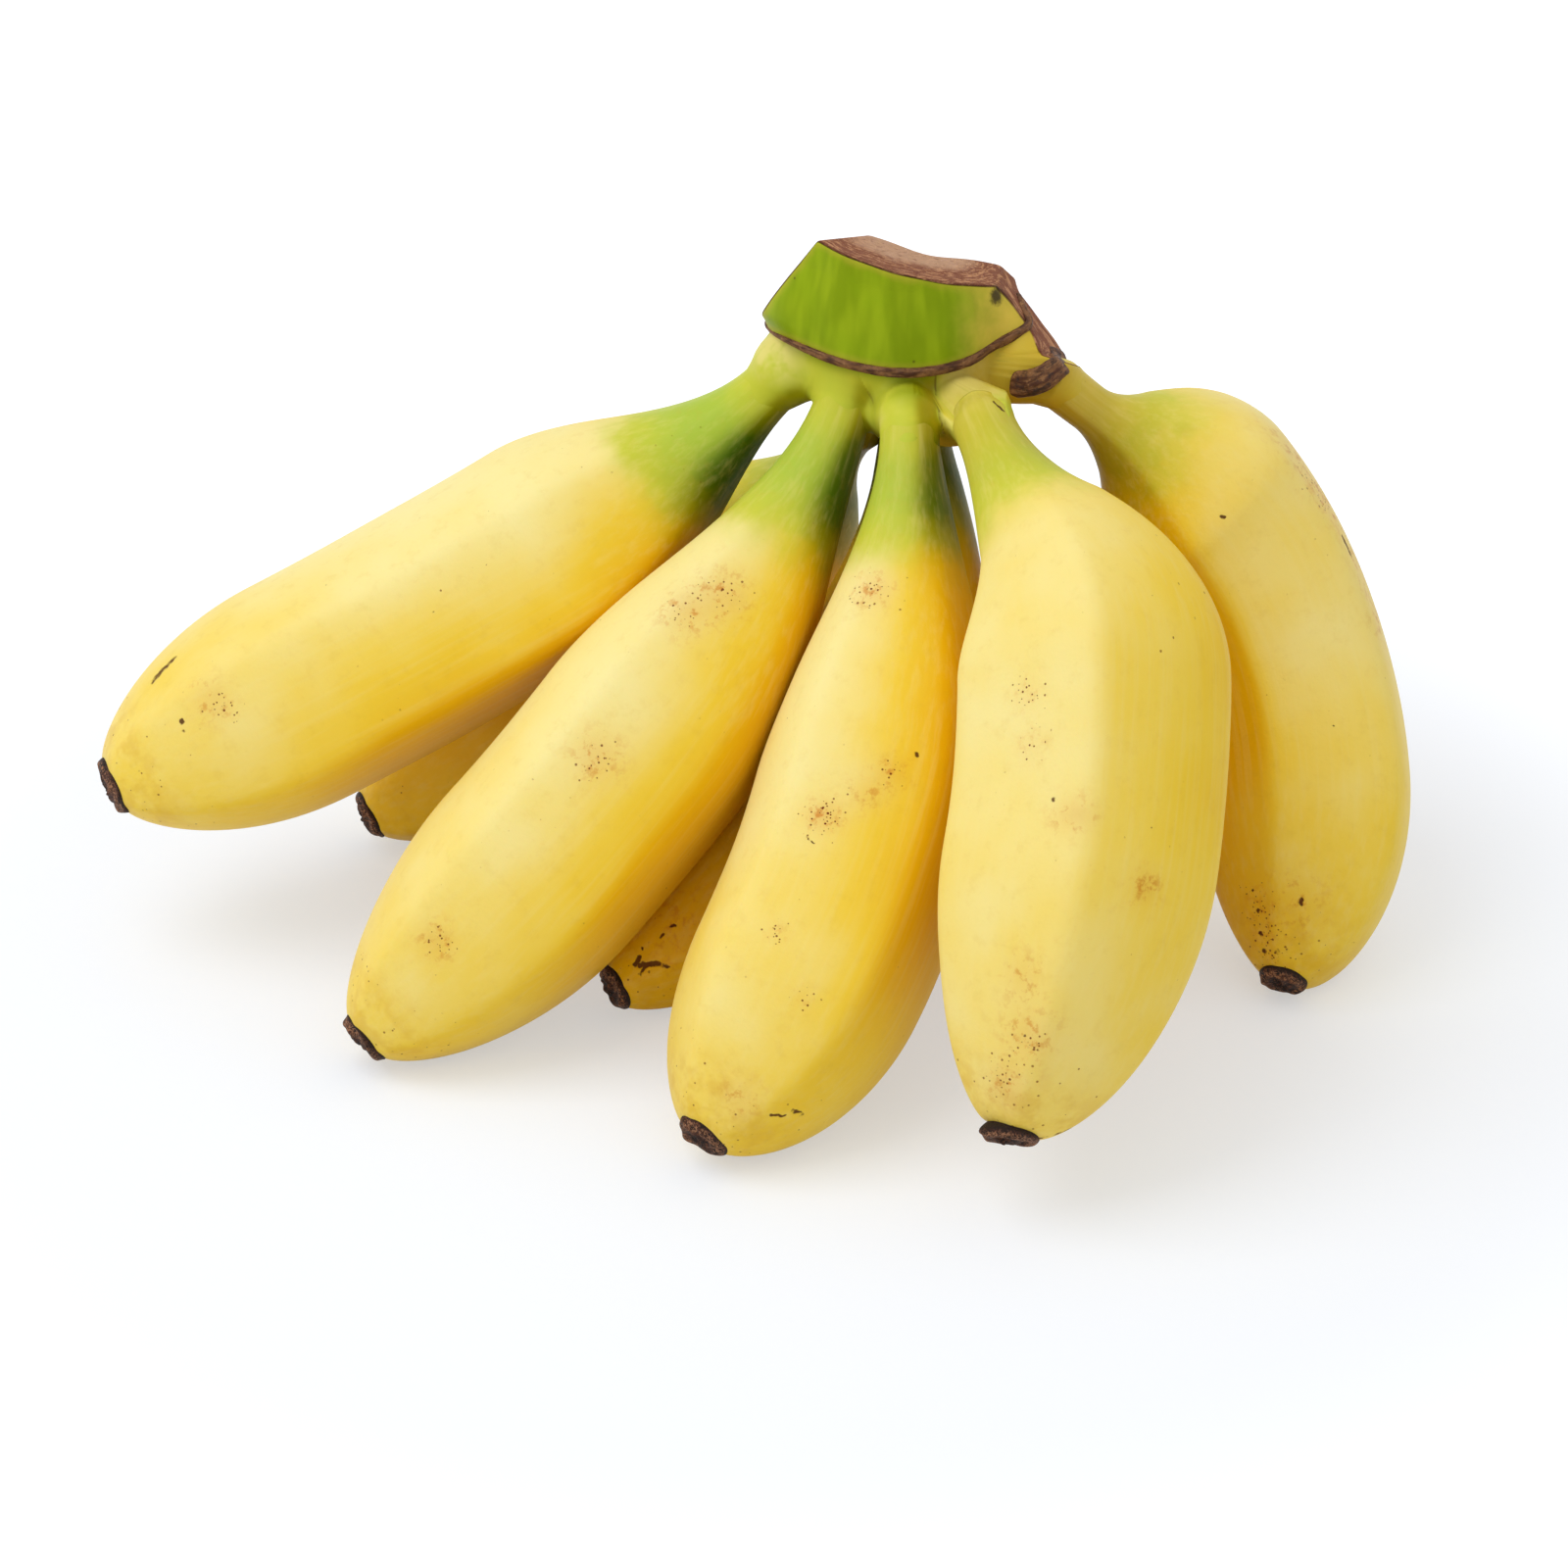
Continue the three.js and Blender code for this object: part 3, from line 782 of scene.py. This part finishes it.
def swept(path, half_widths, half_depths, facing, grid, seed, rough):
    """A band carried along a smooth line through the path's points: its section is an oval whose
    half width and half depth change along it, and waves make it rough. The facing gives the way
    that its depth points."""
    path, facing = np.array(path, float), np.array(facing, float)
    stations, around = grid
    steps = np.concatenate([[0], np.cumsum(np.linalg.norm(np.diff(path, axis=0), axis=1))])
    share = np.linspace(0, 1, stations)
    at = share * steps[-1]
    line = np.stack([smooth_through(steps, path[:, k], at) for k in range(3)], axis=-1)
    heading = unit(np.gradient(line, axis=0))
    facing = np.stack([np.interp(at, steps, facing[:, k]) for k in range(3)], axis=-1)
    depth_way = unit(facing - heading * np.einsum("ij,ij->i", facing, heading)[:, None])
    width_way = np.cross(heading, depth_way)
    angle = turns_of(around)
    ends = np.sqrt(1 - np.abs(0.9999 * (2 * share - 1)) ** 24)
    width = (smooth_through(steps, half_widths, at) * ends)[:, None]
    depth = (smooth_through(steps, half_depths, at) * ends)[:, None]
    bark = 1 + rough * waves(seed, share[:, None] * steps[-1] / 14, angle, 22, (14, 8))
    square = (np.abs(np.cos(angle)) ** 3 + np.abs(np.sin(angle)) ** 3) ** (-1 / 3)
    x = width * np.cos(angle) * square * bark
    y = depth * np.sin(angle) * square * bark
    rings, straight = carried(line, width_way, depth_way, x, y, at)
    return rings * MM, {"straight": straight * MM}


def smooth_through(steps, values, at):
    """A smooth curve through the values at the steps, made of cubics whose slopes are the mean of
    the slopes to the two neighbours."""
    values = np.array(values, float)
    slopes = np.gradient(values, steps)
    piece = np.clip(np.searchsorted(steps, at, side="right") - 1, 0, len(steps) - 2)
    gap = steps[piece + 1] - steps[piece]
    t = (at - steps[piece]) / gap
    return (
        values[piece] * (2 * t**3 - 3 * t**2 + 1)
        + slopes[piece] * gap * (t**3 - 2 * t**2 + t)
        + values[piece + 1] * (3 * t**2 - 2 * t**3)
        + slopes[piece + 1] * gap * (t**3 - t**2)
    )


def ridge_path(fruits):
    """Where the ridge runs (millimetres): along its line under the face, on the cone or, towards the
    right end, on the flesh that stands out of it. Also the way outwards from the crown's axis."""
    turns = np.radians(np.linspace(*RIDGE_SPAN))
    heights = ridge_line(turns) - 0.25 + 0.12 * np.sin(5 * turns)
    facing = np.stack([np.sin(turns), -np.cos(turns), 0 * turns], axis=-1)
    middle = np.column_stack([np.tile(CROWN_AXIS, (len(turns), 1)), heights])
    cone = np.full(len(turns), RIDGE_OUTSIDE)
    for _ in range(20):
        cone = cone - face_distance(middle + facing * cone[:, None])
    reach = np.full(len(turns), RIDGE_OUTSIDE)
    for _ in range(60):
        reach = reach - 0.6 * crown_distance(middle + facing * reach[:, None], fruits)
    reach = np.clip(reach, cone, cone + 5 * fade(turns, math.radians(45), math.radians(60)))
    return middle + facing * (reach + 0.1)[:, None], facing


# ---- finishes


class Value:
    """A socket that carries a number, with the operators that shader maths needs."""

    def __init__(self, finish, socket):
        self.finish, self.socket = finish, socket

    def maths(self, operation, *values):
        return self.finish.node("ShaderNodeMath", {"operation": operation}, dict(enumerate(values)))[0]

    def __add__(self, other):
        return self.maths("ADD", self, other)

    def __sub__(self, other):
        return self.maths("SUBTRACT", self, other)

    def __rsub__(self, other):
        return self.maths("SUBTRACT", other, self)

    def __mul__(self, other):
        return self.maths("MULTIPLY", self, other)

    def least(self, other):
        return self.maths("MINIMUM", self, other)

    def most(self, other):
        return self.maths("MAXIMUM", self, other)

    def fade(self, start, stop):
        """0 before start and 1 after stop, or the other way round where start is the greater."""
        return self.finish.node(
            "ShaderNodeMapRange", {"interpolation_type": "SMOOTHSTEP"},
            {"Value": self, "From Min": start, "From Max": stop},
        )["Result"]

    __radd__ = __add__
    __rmul__ = __mul__


class Made:
    """A node whose outputs are read by name or number."""

    def __init__(self, finish, node):
        self.finish, self.node = finish, node

    def __getitem__(self, key):
        return Value(self.finish, self.node.outputs[key])


class Nodes:
    """A node tree under construction."""

    def __init__(self, tree):
        self.tree = tree
        self.tree.nodes.clear()

    def node(self, kind, settings=None, values=None):
        """Adds a node: its settings first, then the values or links of its sockets."""
        node = self.tree.nodes.new(kind)
        for key, value in (settings or {}).items():
            setattr(node, key, value)
        for key, value in (values or {}).items():
            self.feed(node.inputs[key], value)
        return Made(self, node)

    def feed(self, socket, value):
        """Links a socket to a value of the tree, or sets it to a plain one."""
        if isinstance(value, Value):
            self.tree.links.new(value.socket, socket)
        elif socket.type == "RGBA" and len(value) == 3:
            socket.default_value = (*value, 1)
        else:
            socket.default_value = value

    def attribute(self, name, output="Fac"):
        return self.node("ShaderNodeAttribute", {"attribute_name": name})[output]

    def place(self):
        return self.node("ShaderNodeTexCoord")["Object"]

    def vectors(self, operation, *values, output="Vector"):
        made = self.node("ShaderNodeVectorMath", {"operation": operation}, dict(enumerate(values)))
        return made[output]

    def noise(self, vector, scale, detail=3, roughness=0.5, distortion=0.0, output="Fac"):
        """Smooth noise, about 0.5 on the whole."""
        return self.node("ShaderNodeTexNoise", {}, {
            "Vector": vector, "Scale": scale, "Detail": detail,
            "Roughness": roughness, "Distortion": distortion,
        })[output]

    def mix(self, share, first, second, label=""):
        """From the first colour to the second by the share."""
        settings = {"data_type": "RGBA", "clamp_factor": True, "label": label}
        return self.node("ShaderNodeMix", settings, {0: share, 6: first, 7: second})[2]

    def coats(self, colour, **coats):
        """The colour under named coats, laid on in turn: each has its share and its own colour."""
        for name, (share, coat) in coats.items():
            colour = self.mix(share, colour, coat, name)
        return colour

    def to_line(self, vector, start, end):
        """Distance from the vector to the straight line between two places."""
        way = np.array(end) - start
        apart = self.vectors("SUBTRACT", vector, tuple(start))
        share = self.vectors("DOT_PRODUCT", apart, tuple(way / max(way @ way, 1e-9)), output="Value")
        foot = self.vectors("MULTIPLY", tuple(way), share.most(0).least(1))
        return self.vectors("DISTANCE", apart, foot, output="Value")

    def specks(self, vector, scale, share, size):
        """Round specks in some of the cells of a random tiling: a share of the cells, each with a
        speck of up to the given size in cells."""
        cells = self.node("ShaderNodeTexVoronoi", {}, {"Vector": vector, "Scale": scale})
        parts = self.node("ShaderNodeSeparateColor", {}, {"Color": cells["Color"]})
        chosen = ((share - parts["Red"]) * 60).least(1).most(0)
        reach = parts["Green"] * (0.6 * size) + 0.4 * size
        return (reach - cells["Distance"]).fade(0, 0.25 * size) * chosen

    def seen(self):
        """1 where the camera sees it, straight or in a gloss or through a clear thing, else 0."""
        rays = self.node("ShaderNodeLightPath")
        return rays["Is Camera Ray"].most(rays["Is Glossy Ray"]).most(rays["Is Transmission Ray"])


class Finish(Nodes):
    """A material under construction, with one main shader."""

    def __init__(self, name, roughness, **constants):
        self.material = bpy.data.materials.new(name)
        self.material.use_nodes = True
        super().__init__(self.material.node_tree)
        self.shader = self.node("ShaderNodeBsdfPrincipled", {}, {"Roughness": roughness, **constants})
        self.node("ShaderNodeOutputMaterial", {}, {"Surface": self.shader["BSDF"]})

    def vary(self, **values):
        """Feeds the shader's own sockets, named with _ for a space."""
        for key, value in values.items():
            self.feed(self.shader.node.inputs[key.replace("_", " ")], value)

    def done(self, colour, roughness, height, distance):
        """The material with its colour, its roughness and a bump: a height in shares of the
        distance, in metres."""
        bump = self.node("ShaderNodeBump", {}, {"Height": height, "Distance": distance, "Strength": 1.0})
        self.vary(Base_Color=colour, Roughness=roughness, Normal=bump["Normal"])
        return self.material


def waxy(name, weight, depths, gloss):
    """A waxy skin that light goes into a little."""
    return Finish(name, 0.42, **{
        "Subsurface Weight": weight, "Subsurface Radius": depths,
        "Subsurface Scale": 0.003, "Specular IOR Level": gloss,
    })


def skin_colour(finish, colours, place, neck, fair):
    """Yellow skin with painted light and shade: painted shade of deep gold, ripe yellow and a painted
    sheen of pale cream by the share of painted light, broken up by broad patches, turning green by the
    neck's share. On the neck the shaded side is painted a darker green that reaches further and
    fades through olive, and the lit side a paler green."""
    fairer = fair + (finish.noise(place, 60, 2) - 0.5) * 0.4
    drift = (finish.noise(place, 110, 3, 0.6) - 0.5) * 0.6
    # Painted shade on the neck: on the side away from the painted light the green reaches further, in a
    # darker green, and where it fades it turns olive.
    shade = fairer.fade(0.6, 0)
    greenness = neck * (shade * 0.3 + 1) + (drift - shade * 0.1) * neck.fade(0, 0.3)
    fading = finish.mix(fairer.fade(0.15, 0.7), paint(172, 158, 8), colours.fading)
    green = finish.mix(fairer.fade(0.2, 0.95), colours.green, colours.fair_green)
    return finish.coats(
        # Painted shade of deep gold under ripe yellow and a painted sheen of pale cream where the painted
        # light is strong.
        colours.deep,
        ripe=(fairer.fade(0.2, 0.75), colours.ripe),
        pale=(fairer.fade(0.6, 1.1), colours.pale),
        fading=(greenness.fade(0.02, 0.45), fading),
        green=(greenness.fade(0.3, 0.9), green),
    )


def scratches(finish, fruit, place):
    """1 on the dark scratches and dots of the banana and 0 beside them, with wobbly edges, or
    nothing where it has none."""
    wobble = finish.noise(place, 900, 2, output="Color")
    shifted = finish.vectors("MULTIPLY_ADD", wobble, (2 * SCRATCH_WOBBLE,) * 3, place)
    dark = None
    for along, around, *end, width in SCRATCHES.get(fruit.name, ()):
        start = mark_place(fruit, along, around) + SCRATCH_WOBBLE
        end = mark_place(fruit, *(end or (along, around))) + SCRATCH_WOBBLE
        away = finish.to_line(shifted, start, end)
        spot = away.fade(0.65 * width * MM, 0.35 * width * MM)
        dark = spot if dark is None else dark.most(spot)
    return dark


def peel_finish(name, fruit, colours):
    """Waxy yellow skin: fine streaks along the fruit, a green neck, patches of painted sheen and
    painted shade, soft bruises, crowds of brown specks, dark scratches and dots, and a tip that is
    tinged brown."""
    finish = waxy(name, 0.08, (0.6, 0.35, 0.1), 0.15)
    place = finish.attribute("straight", "Vector")
    neck, tip, bruised, crowded, fair = (
        finish.attribute(key) for key in ("neck", "tip", "bruised", "crowded", "fair")
    )
    along = finish.node("ShaderNodeSeparateXYZ", {}, {"Vector": place})["Z"]
    stalk = along.fade(-0.003, 0.004) * along.fade(0.022, 0.008)
    streaks = finish.noise(finish.vectors("MULTIPLY", place, (1, 1, 0.035)), 900, 3, 0.6)
    mottle = finish.noise(place, 420, 4, 0.65)
    tinge = finish.noise(place, 260, 3, 0.6)
    patchy = finish.noise(place, 620, 4, 0.7).fade(0.5, 0.66)
    thick = finish.noise(place, 45, 2).fade(0.52, 0.75)
    fine = finish.specks(place, 1800, crowded * 0.9 + thick * 0.05 + tip * 0.06 + 0.006, 0.38)
    coarse = finish.specks(place, 300, thick * 0.05 + 0.012, 0.11)
    brown = (fine * 0.75 + crowded * fine * 0.25).most(coarse)
    skin = finish.coats(
        skin_colour(finish, colours, place, neck, fair),
        golden_stalk=(stalk * ((1 - fruit.green) * 1.3), paint(200, 168, 48)),
        pale_streaks=(streaks.fade(0.42, 0.75) * 0.17, paint(252, 232, 150)),
        mottles=(mottle.fade(0.5, 0.75) * 0.13, paint(212, 168, 52)),
        tinged_tip=(tip.fade(0.3, 0.9) * tinge.fade(0.4, 0.65) * 0.3, paint(214, 160, 26)),
        bruises=(bruised * (patchy * 0.5 + 0.14), paint(208, 128, 24)),
        crowds=(crowded * (patchy * 0.3 + 0.1), paint(214, 132, 40)),
        specks=(brown * 0.92, colours.speck),
    )
    dark = scratches(finish, fruit, place)
    if dark:
        skin = finish.coats(skin, scratches=(dark * 0.92, paint(74, 22, 4)))
        brown = brown.most(dark)
    pores = finish.noise(place, 1500, 2)
    height = pores * 0.4 + streaks * 0.22 - brown * 0.6
    return finish.done(skin, streaks * 0.1 + brown * 0.2 + 0.4, height, 0.00012)


def scar_finish(name, colours):
    """Dried scar of a tip: almost black in the middle, tan flakes on the rim, dull and rough."""
    finish = Finish(name, 0.7, **{"Specular IOR Level": 0.25})
    place = finish.attribute("straight", "Vector")
    inner = finish.attribute("inner")
    flakes = finish.noise(place, 520, 4, 0.7, 1.2)
    fibres = finish.noise(place, 1500, 3, 0.7, 2.0)
    rim = inner.fade(0.3, 0.4) * inner.fade(0.66, 0.5)
    colour = finish.coats(
        colours.dark,
        brown_flakes=(flakes.fade(0.45, 0.6), paint(84, 48, 34)),
        tan_fibres=(fibres.fade(0.52, 0.6) * 0.6, paint(150, 100, 74)),
        pale_rim=(rim * fibres.fade(0.46, 0.58) * 0.8, paint(190, 136, 100)),
        tan_middle=(inner.fade(0.6, 0.9) * fibres.fade(0.55, 0.65) * 0.5, paint(150, 104, 78)),
        dark_edge=(inner.fade(0.34, 0.22), colours.dark),
    )
    return finish.done(colour, flakes * 0.3 + 0.5, flakes + fibres * 0.6, 0.0007)


def crown_finish(name, colours):
    """Crown: green waxy face with faint ribs, dried fibrous cuts with maroon streaks and dark
    edges, and yellow green flesh where the stalks begin, with the peels' painted light and shade,
    painted shade under the face and in the creases, and cream with a painted highlight on the tops
    of some stalk bases. x and z are places in metres."""
    finish = waxy(name, 0.06, (0.5, 0.5, 0.1), 0.12)
    cut, edge, face, depth, height, along, neck, fair, stalk, apart, out = (
        finish.attribute(key) for key in (
            "cut", "edge", "face", "depth", "height", "along", "neck", "fair", "stalk", "crease", "out",
        )
    )
    place = finish.place()
    parts = finish.node("ShaderNodeSeparateXYZ", {}, {"Vector": place})
    x, z = parts["X"], parts["Z"]
    blotch = finish.noise(place, 200, 3, 0.6)
    uneven = blotch - 0.5

    lie = finish.node("ShaderNodeCombineXYZ", {}, {"X": along * 5, "Y": height * 0.07})["Vector"]
    ribs = finish.noise(lie, 1.1, 2)
    rim = (cut + uneven * 2).fade(1.6, 0) * 0.5
    green = finish.coats(
        colours.crown_green,
        pale_ribs=(ribs.fade(0.38, 0.7) * 0.6, paint(166, 188, 22)),
        blotches=(blotch.fade(0.45, 0.7) * 0.3, paint(138, 168, 0)),
        yellow_end=((x + uneven * 0.008).fade(0.0262, 0.0362) * 0.9, paint(232, 200, 80)),
        rims=(rim.most(height.fade(1.6, 0.2) * 0.4), paint(196, 178, 56)),
        dots=(finish.specks(place, 420, blotch * 0.12, 0.2) * 0.8, paint(84, 76, 10)),
    )

    inner = out.fade(0.0045, 0)
    # Just below the ridge under the face: the flesh's own green, darkened with painted shade.
    under = height.fade(-3.6, -0.6) * x.fade(0.001, 0.006) * x.fade(0.033, 0.027)
    # Cream on the tops of the stalk bases at the left end and near the fourth front stalk: partly their
    # own colour, partly a painted highlight where the tops face up towards the light.
    cream = x.fade(0.0085, 0.002).most(x.fade(0.0235, 0.027) * x.fade(0.033, 0.030) * 0.6)
    cream = cream * z.fade(0.08, 0.085) * blotch.fade(0.3, 0.55) * inner
    # Painted shade: an olive darkening over the hollow where two stalks meet, and within it the thin dark
    # brown line of the joint itself.
    crease = apart + uneven * 0.8
    meeting = stalk.fade(2.0, 1.0)
    flesh = finish.coats(
        skin_colour(finish, colours, place, neck, fair),
        under_face=(under * 0.85, paint(130, 146, 8)),
        golden_right=(x.fade(0.022, 0.029) * inner * 0.7, paint(206, 172, 54)),
        cream=(cream * 0.75, paint(238, 222, 134)),
        creases=(crease.fade(1.8, 0) * meeting * 0.4, paint(128, 140, 20)),
        deep_creases=(crease.fade(0.4, 0.1) * meeting * 0.7, paint(104, 82, 20)),
    )

    grain = {"X": along * 5, "Y": depth * 1.3, "Z": height * 0.15}
    streaks = finish.noise(finish.node("ShaderNodeCombineXYZ", {}, grain)["Vector"], 1.3, 5, 0.75, 0.6)
    pits = finish.noise(place, 900, 4, 0.65)
    pith = (depth + uneven * 6).fade(4.2, 7.5) * x.fade(0.01, 0.017)
    dried = finish.coats(
        colours.dried,
        streaks=(streaks.fade(0.42, 0.52) * (1 - pith * 0.6) * 0.75, colours.streak),
        pith=(pith * 0.5, paint(226, 188, 156)),
        pits=(pits.fade(0.54, 0.66) * 0.6 * (1 - pith * 0.35), paint(122, 66, 48)),
        rims=(edge.fade(0.8, 0.1) * streaks.fade(0.38, 0.5) * 0.45, paint(96, 48, 38)),
    )

    on_face = height.fade(-0.5, 0) * face.fade(-1.6, -1.0).most(x.fade(0.031, 0.034))
    outline = (edge + uneven * 0.3).fade(0.32, 0.1) * height.fade(-1, 0) * cut.fade(0.8, 0.3)
    corner = finish.vectors("DISTANCE", place, tuple(v * MM for v in CORNER), output="Value")
    cutting = cut.fade(0.3, 0.12)
    colour = finish.coats(
        flesh,
        face=(on_face, green),
        last_stalk=(x.fade(0.0355, 0.0385) * 0.55, paint(200, 168, 48)),
        cuts=(cutting, dried),
        outline=(outline * 0.85, paint(70, 38, 22)),
        corner=((corner + (pits - 0.5) * 0.002).fade(0.0018, 0.0007) * 0.9, colours.dark),
    )
    relief = cutting * (streaks * 0.8 + pits * 0.6) + blotch * 0.1
    return finish.done(colour, cutting * 0.3 + 0.45, relief, 0.0005)


def bark_finish(name, colours, dark_share=0.4):
    """Dried bract remains: brown fibres along the piece, dark cracks, tan high spots."""
    finish = Finish(name, 0.6, **{"Specular IOR Level": 0.3})
    place = finish.attribute("straight", "Vector")
    fibres = finish.noise(finish.vectors("MULTIPLY", place, (1, 1, 0.22)), 1500, 4, 0.65, 0.5)
    cracks = finish.noise(place, 700, 4, 0.7)
    colour = finish.coats(
        colours.bark,
        fibres=(fibres.fade(0.4, 0.62), paint(74, 38, 20)),
        tan_spots=(cracks.fade(0.55, 0.72) * 0.6, paint(184, 136, 88)),
        cracks=(cracks.fade(0.5, 0.36) * dark_share, colours.dark),
    )
    return finish.done(colour, fibres * 0.3 + 0.45, fibres * 0.6 + cracks * 0.5, 0.0005)


# ---- operators


class HAND_OT_peels(bpy.types.Operator):
    """Makes the peel of every banana"""

    bl_idname = "hand.peels"
    bl_label = "Make the peels"

    def execute(self, context):
        hand = context.scene.hand
        for index, fruit in enumerate(hand.fruits):
            rings, attributes = peel(fruit, PEEL_SEED + index)
            name = fruit.name.replace("banana", "peel")
            piece = closed_piece(name, rings, attributes, peel_finish(name, fruit, hand.colours))
            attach(piece, "root")
            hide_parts(fruit.name)
        return {"FINISHED"}


class HAND_OT_tips(bpy.types.Operator):
    """Makes the dried scar on every banana's tip"""

    bl_idname = "hand.tips"
    bl_label = "Make the tip scars"

    def execute(self, context):
        hand = context.scene.hand
        finish = scar_finish("tip_scar", hand.colours)
        for index, fruit in enumerate(hand.fruits):
            rings, attributes = tip_scar(fruit, SCAR_SEED + index)
            piece = closed_piece(fruit.name.replace("banana", "tip_scar"), rings, attributes, finish)
            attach(piece, "root")
        return {"FINISHED"}


class HAND_OT_crown(bpy.types.Operator):
    """Makes the cut crown that joins the stalks"""

    bl_idname = "hand.crown"
    bl_label = "Make the crown"

    def execute(self, context):
        hand = context.scene.hand
        rings, attributes = crown(hand.fruits)
        piece = closed_piece("crown_flesh", rings, attributes, crown_finish("crown", hand.colours))
        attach(piece, "root")
        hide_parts("crown")
        return {"FINISHED"}


class HAND_OT_ridge(bpy.types.Operator):
    """Makes the brown ridge under the crown's face and the dried flap at its right end"""

    bl_idname = "hand.ridge"
    bl_label = "Make the ridge and flap"

    def execute(self, context):
        hand = context.scene.hand
        path, facing = ridge_path(hand.fruits)
        widths = np.interp(path[:, 0], RIDGE_PLACES, RIDGE_WIDTHS)
        depths = np.full(len(path), RIDGE_DEPTH)
        rings, attributes = swept(path, widths, depths, facing, RIDGE_GRID, RIDGE_SEED, RIDGE_ROUGH)
        piece = closed_piece("bract_ridge", rings, attributes, bark_finish("bract_ridge", hand.colours))
        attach(piece, "root")
        path = laid_on(np.array(FLAP_PATH), hand.fruits, FLAP_LIFT)
        rings, attributes = swept(
            path, FLAP_WIDTHS, FLAP_DEPTHS, FLAP_FACINGS, FLAP_GRID, FLAP_SEED, FLAP_ROUGH,
        )
        piece = closed_piece("bract_flap", rings, attributes, bark_finish("bract_flap", hand.colours, 0.8))
        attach(piece, "root")
        return {"FINISHED"}


class HAND_OT_stage(bpy.types.Operator):
    """Makes the floor, the lights and the camera"""

    bl_idname = "hand.stage"
    bl_label = "Make the stage"

    def execute(self, context):
        stage = context.scene.hand.stage
        scene = context.scene
        scene.view_settings.view_transform = "Standard"
        mesh = bpy.data.meshes.new("floor")
        corners = [(x * FLOOR_REACH, y * FLOOR_REACH, 0) for x, y in ((-1, -1), (1, -1), (1, 1), (-1, 1))]
        mesh.from_pydata(corners, [], [(0, 1, 2, 3)])
        finish = Finish("floor", 0.9, **{"Specular IOR Level": 0.0, "Emission Strength": 1.0})
        seen = finish.seen()
        away = finish.vectors("LENGTH", finish.place(), output="Value")
        glow = finish.mix(away.fade(*GLOW_SPAN), GLOW_NEAR, GLOW_FAR)
        finish.vary(
            Base_Color=finish.mix(seen, FLOOR_LIT, FLOOR_SEEN),
            Emission_Color=finish.mix(seen, (0, 0, 0), glow),
        )
        mesh.materials.append(finish.material)
        in_scene("floor", mesh)

        world = bpy.data.worlds.new("studio")
        world.use_nodes = True
        nodes = Nodes(world.node_tree)
        strength = nodes.seen() * (1 - stage.fill) + stage.fill
        plain = nodes.node("ShaderNodeBackground", {}, {"Color": (1, 1, 1), "Strength": strength})
        nodes.node("ShaderNodeOutputWorld", {}, {"Surface": plain["Background"]})
        scene.world = world

        lamp = bpy.data.lights.new("key", "AREA")
        lamp.shape = "SQUARE"
        lamp.size = KEY_SIZE
        lamp.energy = stage.key_power
        key = in_scene("key", lamp)
        key.location = KEY_PLACE
        aim_at(key, KEY_TARGET)

        lens = bpy.data.cameras.new("camera")
        lens.sensor_width = LENS_SENSOR
        lens.lens = LENS
        lens.clip_start = LENS_NEAR
        camera = in_scene("camera", lens)
        angle = stage.camera_elevation
        back = np.array([0, -math.cos(angle), math.sin(angle)])
        camera.location = np.array(stage.aim) + stage.camera_distance * back
        camera.rotation_euler = (math.pi / 2 - angle, 0, 0)
        scene.camera = camera
        return {"FINISHED"}


def aim_at(lamp, target):
    """Turns a lamp so that it shines on a point."""
    way = Vector(target) - lamp.location
    lamp.rotation_euler = way.to_track_quat("-Z", "Y").to_euler()


class HAND_PT_panel(bpy.types.Panel):
    """Sizes, colours and the pieces of the hand"""

    bl_idname = "HAND_PT_panel"
    bl_label = "Hand of bananas"
    bl_space_type = "VIEW_3D"
    bl_region_type = "UI"
    bl_category = "Bananas"

    def draw(self, context):
        layout = self.layout
        hand = context.scene.hand
        for operator in OPERATORS:
            layout.operator(operator.bl_idname)
        for group in (hand.colours, hand.stage, *hand.fruits):
            box = layout.box()
            box.label(text=getattr(group, "name", "") or type(group).__name__)
            for key in group.__annotations__:
                box.prop(group, key)


OPERATORS = (HAND_OT_peels, HAND_OT_tips, HAND_OT_crown, HAND_OT_ridge, HAND_OT_stage)
CLASSES = (HAND_PG_fruit, HAND_PG_colours, HAND_PG_stage, HAND_PG_hand, *OPERATORS, HAND_PT_panel)


def register():
    """Registers the classes and puts the hand's sizes on the scene."""
    for made in CLASSES:
        bpy.utils.register_class(made)
    bpy.types.Scene.hand = PointerProperty(type=HAND_PG_hand)


def unregister():
    """Takes the hand's sizes and the classes away."""
    del bpy.types.Scene.hand
    for made in reversed(CLASSES):
        bpy.utils.unregister_class(made)


def main():
    """Builds the whole hand."""
    register()
    lay_out(bpy.context.scene.hand)
    bpy.ops.hand.stage()
    bpy.ops.hand.peels()
    bpy.ops.hand.tips()
    bpy.ops.hand.crown()
    bpy.ops.hand.ridge()
    bpy.context.view_layer.update()


if __name__ == "__main__":
    main()
